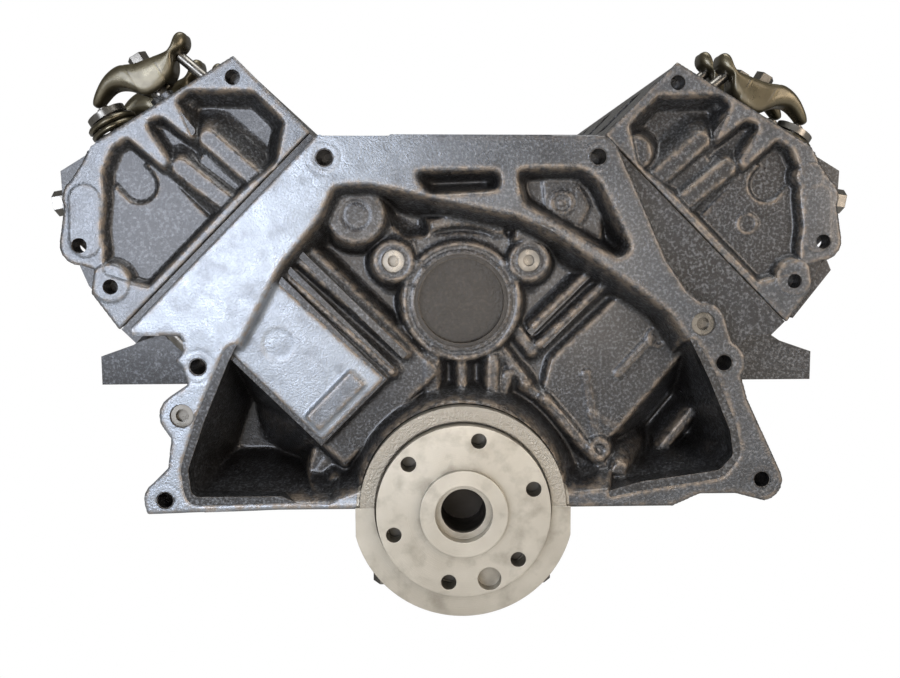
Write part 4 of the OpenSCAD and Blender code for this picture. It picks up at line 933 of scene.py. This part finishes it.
@dataclass
class HeadEnd(Relief):
    """The rear face of one cylinder head, in its bank's coordinates.

    Attributes:
        foot: Height of the head's joint face along the bank.
        tapped: Tapped holes of the end face, with heights above the joint face.
        tapped_r: Radius of a tapped hole.
    """

    foot: float = 0.0
    tapped: tuple[Spot, ...] = ((-103, 62.5), (62, 24), (56, 59))
    tapped_r: float = 5.4

    # Distance of the gasket's inboard edge from the bank's axis
    GASKET_INNER: ClassVar[float] = 100.0

    @classmethod
    def make(cls, material: bpy.types.Material, side: int, face: float, foot: float) -> bpy.types.Object:
        """Model one end face and build it.

        Args:
            material: Its finish.
            side: Bank, -1 for left and 1 for right.
            face: Y position of the end face.
            foot: Height of the head's joint face along the bank.

        Returns:
            The piece.
        """
        end = cls(f"head_relief_{'left' if side < 0 else 'right'}", (-116, foot - 2), (84, foot + 98.5),
                  0.8, face, side, lip=0.9, foot=foot)
        end.pockets()
        end.bosses()
        end.swell(7.0, 0.3, 8 + side)
        end.outline()
        return end.build(material)

    def pockets(self) -> None:
        """The shallow pocket with its rim teeth, and the deep well in its inboard part."""
        foot = self.foot
        pocket = self.polygon([
            (-84, foot + 1), (-107, foot + 17), (-107, foot + 46), (-74, foot + 80), (-62, foot + 80),
            (-59, foot + 55), (-53, foot + 55), (-50, foot + 80), (-41, foot + 85), (-36, foot + 82),
            (-30, foot + 55), (-25, foot + 55), (-23, foot + 87), (-10, foot + 90), (8, foot + 83),
            (20, foot + 70), (38, foot + 56), (46, foot + 46), (60, foot + 34), (50, foot + 14),
            (44, foot + 4), (-50, foot + 4),
        ], 1.6)
        self.sink_to(pocket, 9.6, LAND, slope=2.2, blend=2.2, fillet=4)
        well = self.polygon([
            (-80, foot + 6), (-102, foot + 19), (-102, foot + 44), (-73, foot + 74), (-66, foot + 72),
            (-56, foot + 46), (-64, foot + 8),
        ], 1.6)
        self.sink_to(well, 15.4, 9.6, slope=1.8, blend=2.5, fillet=4)

    def bosses(self) -> None:
        """Tube ribs, bolt bosses, the ledge over the joint and small marks."""
        foot = self.foot
        for start, end in (((-61, foot + 47), (-63.5, foot + 6)), ((-33, foot + 47), (-38, foot + 3))):
            self.raise_to(self.capsule(start, end, 5.5), 2.0, slope=1.0, blend=4)
        self.raise_to(self.capsule((-48, foot + 40), (-52, foot + 8), 2.0), 6.6, slope=0.9, blend=3)
        self.raise_to(self.capsule((30, foot + 78), (51, foot + 58), 10.5), LAND, slope=2.2)
        self.raise_to(self.circle((60, foot + 26), 13), LAND, slope=2.0, blend=3)
        self.raise_to(self.capsule((-70, foot + 3.5), (56, foot + 3.5), 2.4), 3.0, slope=1.6)
        low = self.polygon([(-22, foot + 64), (20, foot + 72), (48, foot + 46), (56, foot + 16),
                            (44, foot + 6), (-20, foot + 7)], 2)
        channel = self.capsule((-6, foot + 92), (-3, foot + 60), 13.5)
        self.raise_to(np.maximum(low, -channel), 7.4, slope=1.3, blend=2)
        if self.side > 0:
            self.raise_to(self.circle((14.6, foot + 85), 10), LAND, slope=2)
            self.raise_to(self.circle((-89, foot + 6), 12), 1, slope=1.6, blend=4)
            self.raise_to(self.capsule((-46, foot + 1), (-39, foot + 1), 6), 2.5, slope=1.4)
            self.raise_to(np.abs(self.circle((8, foot + 30), 7)) - 0.8, 6.6, slope=1.0, blend=1)

    def outline(self) -> None:
        """The head's edge with its rounding, and its tapped holes."""
        foot = self.foot
        edge = self.polygon([
            (-113, foot), (-113, foot + 71.5), (0, foot + 99.7), (12, foot + 95.5),
            *arc((30, foot + 79), 14, 100, 20, 4), *arc((56, foot + 59), 13, 60, -50, 5),
            (60, foot + 40), (74, foot + 30), (79, foot),
        ])
        self.trim(edge, 1.4)
        for across, up in self.tapped:
            self.cut(self.circle((across, foot + up), self.tapped_r))


# ---------------------------------------------------------------- valve gear


def islands(node: str) -> list[Array]:
    """Split a CAD node into the corner points of its separate solids.

    Args:
        node: Name of the node.

    Returns:
        One array of points in millimetres for each solid.
    """
    mesh = frame["nodes"][node].data
    raw = np.empty(len(mesh.vertices) * 3)
    mesh.vertices.foreach_get("co", raw)
    pairs = np.empty(len(mesh.edges) * 2, dtype=np.int32)
    mesh.edges.foreach_get("vertices", pairs)
    points, weld = np.unique(np.round(raw.reshape(-1, 3) / MM, 3), axis=0, return_inverse=True)
    start, end = weld.ravel()[pairs.reshape(-1, 2)].T
    label, before = np.arange(len(points)), None
    while before is None or (label != before).any():
        before = label.copy()
        lower = np.minimum(label[start], label[end])
        np.minimum.at(label, start, lower)
        np.minimum.at(label, end, lower)
        label = label[label]
    return [points[label == k] for k in np.unique(label)]


def loft(sections: Array) -> Body:
    """Join closed sections into one closed body of quads.

    Args:
        sections: Points of each section in order, with shape (sections, points, 3).

    Returns:
        The points and the quads. Point i of a section faces point m - 1 - i across it.
    """
    count, around = sections.shape[:2]
    index = np.arange(count * around).reshape(count, around)
    turned = np.roll(index, -1, axis=1)
    sides = np.stack([index[:-1], turned[:-1], turned[1:], index[1:]], axis=-1).reshape(-1, 4)
    i = np.arange(around // 2 - 1)
    cap = np.stack([i, around - 1 - i, around - 2 - i, i + 1], axis=1)
    return sections.reshape(-1, 3), np.concatenate([sides, cap, cap[:, ::-1] + (count - 1) * around])


def joined(parts: list[Body]) -> Body:
    """Put several bodies of quads into one list of points and one of faces."""
    offsets = np.cumsum([0] + [len(points) for points, _ in parts[:-1]])
    faces = np.concatenate([quads + k for (_, quads), k in zip(parts, offsets)])
    return np.concatenate([points for points, _ in parts]), faces


@dataclass
class RailFrame:
    """Where one valve's gear stands: x outwards along the cover rail, y forwards, z off the rail.

    Attributes:
        side: Bank, -1 for left and 1 for right.
        origin: Origin in the engine's frame, in millimetres.
        tilt: Degrees that the valve end is turned down.
    """

    side: int
    origin: Array
    tilt: float = 0.0

    SLOPE: ClassVar[float] = 31.0

    @classmethod
    def facing(cls, points: Array) -> "RailFrame":
        """The untilted frame of the bank that some points belong to, at the engine's origin."""
        return cls(1 if points[:, 0].mean() > 0 else -1, np.zeros(3))

    @property
    def axes(self) -> Array:
        """The frame's x, y and z directions as rows."""
        angle = math.radians(self.SLOPE + self.tilt)
        return np.array([
            [self.side * math.cos(angle), 0, -math.sin(angle)],
            [0, 1, 0],
            [self.side * math.sin(angle), 0, math.cos(angle)],
        ])

    def place(self, points: Array) -> Array:
        """Turn points of this frame into the engine's."""
        return points @ self.axes + self.origin

    def local(self, points: Array) -> Array:
        """Turn points of the engine's frame into this one's."""
        return (points - self.origin) @ self.axes.T

    def extent(self, points: Array) -> tuple[Array, Array]:
        """Lowest and highest corner of some points of the engine's frame, measured in this one."""
        local = self.local(points)
        return local.min(0), local.max(0)


@dataclass(frozen=True)
class Coil:
    """One valve spring, wound from round wire with closed ends.

    Attributes:
        radius: Outer radius.
        height: Length as fitted.
        wire: Radius of the wire.
        turns: Number of turns.
    """

    radius: float
    height: float
    wire: float = 2.4
    turns: float = 5.0

    def body(self, centre: Array) -> Body:
        """Sweep the wire along a helix that rises by its own thickness in the two end turns.

        Args:
            centre: Middle of the lower end, in the rail's frame.

        Returns:
            The points and quads.
        """
        turn = np.linspace(0, self.turns, int(self.turns * 26) + 1)
        run = self.height - 2 * self.wire
        closed = 2 * self.wire
        rise = np.interp(turn, [0, 1, self.turns - 1, self.turns], [0, closed, run - closed, run])
        angle = 2 * math.pi * turn[:, None] + 0.6
        about = np.linspace(0, 2 * math.pi, 9)[None, :-1] + 0.4
        reach = self.radius - self.wire + self.wire * np.cos(about)
        level = self.wire + rise[:, None] + self.wire * np.sin(about)
        points = np.stack([reach * np.cos(angle), reach * np.sin(angle), level], axis=-1)
        return loft(points + centre)


class StampedRocker:
    """One stamped rocker: a hook over the pushrod, a bowl round the fulcrum and a hump to the valve."""

    # Distance from the pivot to the hook's end, and to the top of the hump
    REACH: ClassVar[float] = 40.0
    RISE: ClassVar[float] = 12.0
    # Half width of the slot in the bowl's floor
    SLOT: ClassVar[float] = 6.7
    # One row per section: distance from the pivot, heights of the top edge, the underside and the inner
    # floor, half width, thickness of the wall
    SHAPE: ClassVar[Array] = np.array([
        (-40.0, 6.4, 4.4, 5.9, 8.5, 7.0), (-38.6, 8.6, 1.4, 7.6, 10.5, 8.0),
        (-36.5, 9.7, -1.0, 8.2, 12.0, 8.0), (-33.0, 9.0, -2.6, 6.8, 13.0, 7.0),
        (-30.0, 6.4, -2.9, 4.4, 13.5, 5.0), (-27.0, 3.6, -2.9, 1.2, 13.5, 4.0),
        (-23.6, 2.0, -3.1, 0.4, 13.5, 3.6), (-21.6, 1.8, -9.0, -0.8, 13.5, 3.4),
        (-17.0, 2.4, -14.6, -2.0, 13.5, 3.4), (-12.4, 3.4, -16.4, -2.6, 13.5, 3.4),
        (-8.0, 4.4, -17.4, -9.4, 13.5, 3.4), (-4.0, 5.2, -18.0, -11.8, 13.5, 3.4),
        (0.0, 5.8, -18.2, -12.4, 13.5, 3.4), (4.0, 7.0, -18.0, -11.8, 13.5, 3.4),
        (8.0, 9.0, -16.8, -9.4, 13.5, 3.4), (12.4, 11.0, -12.4, -2.6, 13.5, 3.8),
        (16.0, 11.8, -7.0, 6.0, 13.2, 5.5), (20.0, 12.0, -3.4, 10.4, 12.8, 8.0),
        (26.0, 11.0, -0.2, 9.8, 12.0, 8.0), (32.0, 8.6, -1.2, 7.6, 11.0, 7.5),
        (38.0, 5.2, -3.6, 4.2, 9.6, 6.8), (42.5, 2.2, -5.4, 1.4, 8.2, 6.0),
        (45.6, -1.2, -3.6, -2.0, 6.4, 5.0),
    ])

    @classmethod
    def body(cls) -> Body:
        """Loft the hook, the two halves of the slotted bowl and the hump."""
        hook, bowl, hump = cls.SHAPE[:11], cls.SHAPE[9:16], cls.SHAPE[14:]
        halves = [loft(cls.half_section(bowl, side)[:, ::side]) for side in (-1, 1)]
        return joined([loft(cls.channel(hook)), *halves, loft(cls.channel(hump))])

    @staticmethod
    def channel(rows: Array) -> Array:
        """Sections of a channel with rounded corners, open at the top.

        Args:
            rows: Rows of the shape's table.

        Returns:
            Points with shape (rows, 16, 3), in the order that a loft needs.
        """
        x, top, under, floor, wide, wall = rows.T[:, :, None]
        inner, middle = wide - wall, (top + under) / 2
        across = np.hstack([-wide, -wide, 1.2 - wide, -wide / 2, wide / 2, wide - 1.2, wide, wide,
                            inner, inner, inner - 0.6, inner / 2, -inner / 2, 0.6 - inner, -inner, -inner])
        lift, mid = floor + 0.5, (top + floor) / 2
        up = np.hstack([top, middle, under + 1, under, under, under + 1, middle, top,
                        top, mid, lift, floor, floor, lift, mid, top])
        return np.stack([np.broadcast_to(x, across.shape), across, up], axis=-1)[:, ::-1]

    @classmethod
    def half_section(cls, rows: Array, side: int) -> Array:
        """Sections of one wall of the bowl with its half of the floor, beside the slot.

        Args:
            rows: Rows of the shape's table.
            side: Which wall, -1 or 1.

        Returns:
            Points with shape (rows, 10, 3), in the order that a loft needs.
        """
        x, top, under, floor, wide, wall = rows.T[:, :, None]
        slot, inner = np.full_like(x, cls.SLOT), wide - wall
        across = np.hstack([slot, (slot + wide) / 2, wide - 1.2, wide, wide,
                            inner, inner, inner - 0.6, (slot + inner) / 2, slot])
        up = np.hstack([under, under, under + 1, (top + under) / 2, top,
                        top, (top + floor) / 2, floor + 0.5, floor, floor])
        return np.stack([np.broadcast_to(x, across.shape), side * across, up], axis=-1)[:, ::-1]


class ValveGear:
    """Wound springs and stamped rockers in the places of the CAD's plain ones."""

    def __init__(self, library: MaterialLibrary) -> None:
        """Keep the finishes."""
        self.library = library

    def build(self) -> list[bpy.types.Object]:
        """Make the springs, the rockers that stand still and the six that move.

        Returns:
            The pieces.
        """
        shape, faces = StampedRocker.body()
        still = [(self.resting(points).place(shape), faces) for points in islands("closed_rockers")]
        made = [self.springs(), self.rocker("rockers_still", still, "closed_rockers", "block")]
        for joint in frame["joints"]:
            if "_rocker_pivot_" in joint["name"]:
                node = joint["child"]
                place = self.turned_about(node, joint["pos_m"])
                made.append(self.rocker(node + "_stamped", [(place.place(shape), faces)], node, node))
        return made

    def springs(self) -> bpy.types.Object:
        """Wind a coil inside each CAD spring's own room."""
        parts = []
        for points in islands("valve_springs"):
            place = RailFrame.facing(points)
            low, high = place.extent(points)
            foot = (low + high) / 2 * [1, 1, 0] + [0, 0, low[2]]
            shape, faces = Coil((high[0] - low[0]) / 2, high[2] - low[2]).body(foot)
            parts.append((place.place(shape), faces[:, ::place.side]))
        points, faces = joined(parts)
        made = make_object("coil_springs", points, faces, self.library.get("spring_steel"))
        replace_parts(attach(made, "block"), "valve_springs")
        return made

    def rocker(self, name: str, parts: list[Body], node: str, body: str) -> bpy.types.Object:
        """Make rockers from placed shapes, rounded by subdivision.

        Args:
            name: Name of the piece.
            parts: Points and quads of each rocker.
            node: CAD node that the piece replaces.
            body: Body that it rides on.

        Returns:
            The piece.
        """
        parts = [(points, quads[:, ::RailFrame.facing(points).side]) for points, quads in parts]
        points, faces = joined(parts)
        made = make_object(name, points, faces, self.library.get("rocker_steel"))
        made.modifiers.new("rounding", "SUBSURF").levels = 2
        made.modifiers["rounding"].render_levels = 2
        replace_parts(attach(made, body), node)
        return made

    @staticmethod
    def resting(points: Array) -> RailFrame:
        """Find the pivot of a level rocker from its own extent.

        Args:
            points: Points of the CAD rocker.

        Returns:
            A frame that stands on its pivot.
        """
        place = RailFrame.facing(points)
        low, high = place.extent(points)
        pivot = np.array([low[0] + StampedRocker.REACH, (low[1] + high[1]) / 2, high[2] - StampedRocker.RISE])
        return RailFrame(place.side, place.place(pivot))

    @staticmethod
    def turned_about(node: str, pivot: list[float]) -> RailFrame:
        """Find how far a moving rocker is turned down, by turning it back until its extent fits.

        Args:
            node: Its CAD node.
            pivot: A point of its pivot's axis, in metres.

        Returns:
            A frame that stands on its pivot and is tilted as it is.
        """
        points = np.concatenate(islands(node))
        side = RailFrame.facing(points).side
        middle = (points[:, 1].min() + points[:, 1].max()) / 2
        origin = np.array([pivot[0] / MM, middle, pivot[2] / MM])

        def misfit(tilt: float) -> float:
            """How far the extent is from a level rocker's, in millimetres."""
            low, high = RailFrame(side, origin, tilt).extent(points)
            return abs(low[0] + StampedRocker.REACH) + abs(high[2] - StampedRocker.RISE)

        return RailFrame(side, origin, min(np.arange(0, 20, 0.1), key=misfit))


# ---------------------------------------------------------------- the studio


@dataclass(frozen=True)
class SoftBox:
    """A square lamp, aimed at the rear face.

    Attributes:
        name: Name of the lamp.
        place: Where it stands, in metres.
        size: Length of its side, in metres.
        power: Its power in watts.
        colour: Its colour.
    """

    name: str
    place: tuple[float, float, float]
    size: float
    power: float
    colour: str

    # Point in metres that every lamp looks at
    AIM: ClassVar[tuple[float, float, float]] = (0, 0.05, 0.12)

    def build(self) -> None:
        """Hang the lamp."""
        data = bpy.data.lights.new(self.name, "AREA")
        data.shape = "SQUARE"
        data.size = self.size
        data.energy = self.power
        data.color = linear(self.colour)[:3]
        lamp = bpy.data.objects.new(self.name, data)
        lamp.location = self.place
        lamp.rotation_mode = "QUATERNION"
        lamp.rotation_quaternion = (Vector(self.AIM) - Vector(self.place)).to_track_quat("-Z", "Y")
        bpy.context.scene.collection.objects.link(lamp)


@dataclass
class Studio:
    """Camera, light and floor.

    Attributes:
        eye_mm: Where the camera stands.
        yaw: Degrees that it looks to the right of +Y.
        pitch: Degrees that it looks down.
        roll: Degrees that the picture leans.
        lens_mm: Focal length on a 36 mm sensor.
        boxes: The lamps.
        dome: Colour of the world to everything but the camera.
        dome_strength: Its strength.
        ground: Colour of the floor to everything but the camera.
        ground_mm: Half of the floor's width.
    """

    eye_mm: tuple[float, float, float] = (-22.0, -651.0, 192.0)
    yaw: float = 1.14
    pitch: float = 6.05
    roll: float = -0.29
    lens_mm: float = 37.88
    boxes: tuple[SoftBox, ...] = (
        SoftBox("key", (-0.80, -1.90, 0.30), 0.8, 21.0, "#e9f0ff"),
        SoftBox("fill", (1.3, -1.3, 0.5), 0.9, 13.0, "#ffeedd"),
        SoftBox("front", (0.1, -1.7, -0.1), 0.8, 9.0, "#fff4e8"),
        SoftBox("top", (0.1, -0.3, 1.5), 0.9, 12.0, "#ffffff"),
    )
    dome: str = "#dedcd8"
    dome_strength: float = 0.24
    ground: str = "#e9e9e7"
    ground_mm: float = 4000

    def build(self) -> None:
        """Make the camera, the lamps, the world and the floor."""
        self.camera()
        for box in self.boxes:
            box.build()
        self.world()
        self.floor()

    def camera(self) -> None:
        """Point the camera by its yaw, pitch and roll."""
        yaw, pitch, roll = (math.radians(v) for v in (self.yaw, self.pitch, self.roll))
        ahead = Vector((math.sin(yaw) * math.cos(pitch), math.cos(yaw) * math.cos(pitch), -math.sin(pitch)))
        right = Vector((math.cos(yaw), -math.sin(yaw), 0.0))
        above = right.cross(ahead)
        right, above = (
            math.cos(roll) * right + math.sin(roll) * above,
            -math.sin(roll) * right + math.cos(roll) * above,
        )
        data = bpy.data.cameras.new("camera")
        data.lens = self.lens_mm
        data.sensor_width = 36.0
        data.clip_start, data.clip_end = 0.01, 50.0
        camera = bpy.data.objects.new("camera", data)
        turn = Matrix((right, above, -ahead)).transposed().to_4x4()
        camera.matrix_world = Matrix.Translation(Vector(self.eye_mm) * MM) @ turn
        bpy.context.scene.collection.objects.link(camera)
        bpy.context.scene.camera = camera

    def world(self) -> None:
        """White to the camera, and a soft grey dome to everything else."""
        world = bpy.data.worlds.new("studio")
        bpy.context.scene.world = world
        world.use_nodes = True
        graph = Graph(world.node_tree)
        dome = graph.add("Background", Color=linear(self.dome), Strength=self.dome_strength)
        white = graph.add("Background", Color=(1, 1, 1, 1), Strength=1.0)
        graph.white_to_camera("OutputWorld", dome, white)

    def floor(self) -> None:
        """Lay a wide floor under the lowest point of the engine, white to the camera and pale to all else."""
        low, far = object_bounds()[0].z / MM, self.ground_mm
        corners = np.array([[-far, -far, low], [far, -far, low], [far, far, low], [-far, far, low]])
        material = bpy.data.materials.new("floor")
        material.use_nodes = True
        graph = Graph(material.node_tree)
        pale = graph.add("BsdfDiffuse", Color=linear(self.ground))
        white = graph.add("Emission", Color=(1, 1, 1, 1), Strength=1.0)
        graph.white_to_camera("OutputMaterial", pale, white)
        make_object("floor", corners, np.array([[0, 1, 2, 3]]), material, smooth=False)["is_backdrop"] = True


def record_size(stage: str, log: dict[str, list[list[float]]]) -> None:
    """Note the shown object's corners under a name.

    Args:
        stage: The name.
        log: What was noted before, added to here.
    """
    low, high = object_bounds()
    log[stage] = [list(low), list(high)]


def main() -> None:
    """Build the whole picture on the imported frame."""
    logging.basicConfig(level=logging.INFO)
    sizes: dict[str, list[list[float]]] = {}
    record_size("loaded", sizes)
    library = MaterialLibrary()
    for name, node in frame["nodes"].items():
        node.data.materials.clear()
        node.data.materials.append(library.get(finish_of(name)))
        LOG.info("%s: %s", name, finish_of(name))
    mounts = {m["name"]: m for m in frame["record"]["mounts"]}
    iron = library.get("cast_relief")
    pieces = BellFace.make(iron, mounts["bell_face"]["pos_m"][1] / MM)
    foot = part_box("head_gaskets")[1].z / MM / HALF - HeadEnd.GASKET_INNER
    for side, node in ((-1, "cylinder_head_left"), (1, "cylinder_head_right")):
        pieces.append(HeadEnd.make(iron, side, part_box(node)[0].y / MM, foot))
    pieces += ValveGear(library).build()
    for piece in pieces:
        LOG.info("%s: %d faces", piece.name, len(piece.data.polygons))
    Studio().build()
    bpy.context.scene.view_settings.view_transform = "Standard"
    record_size("built", sizes)


if __name__ == "__main__":
    main()
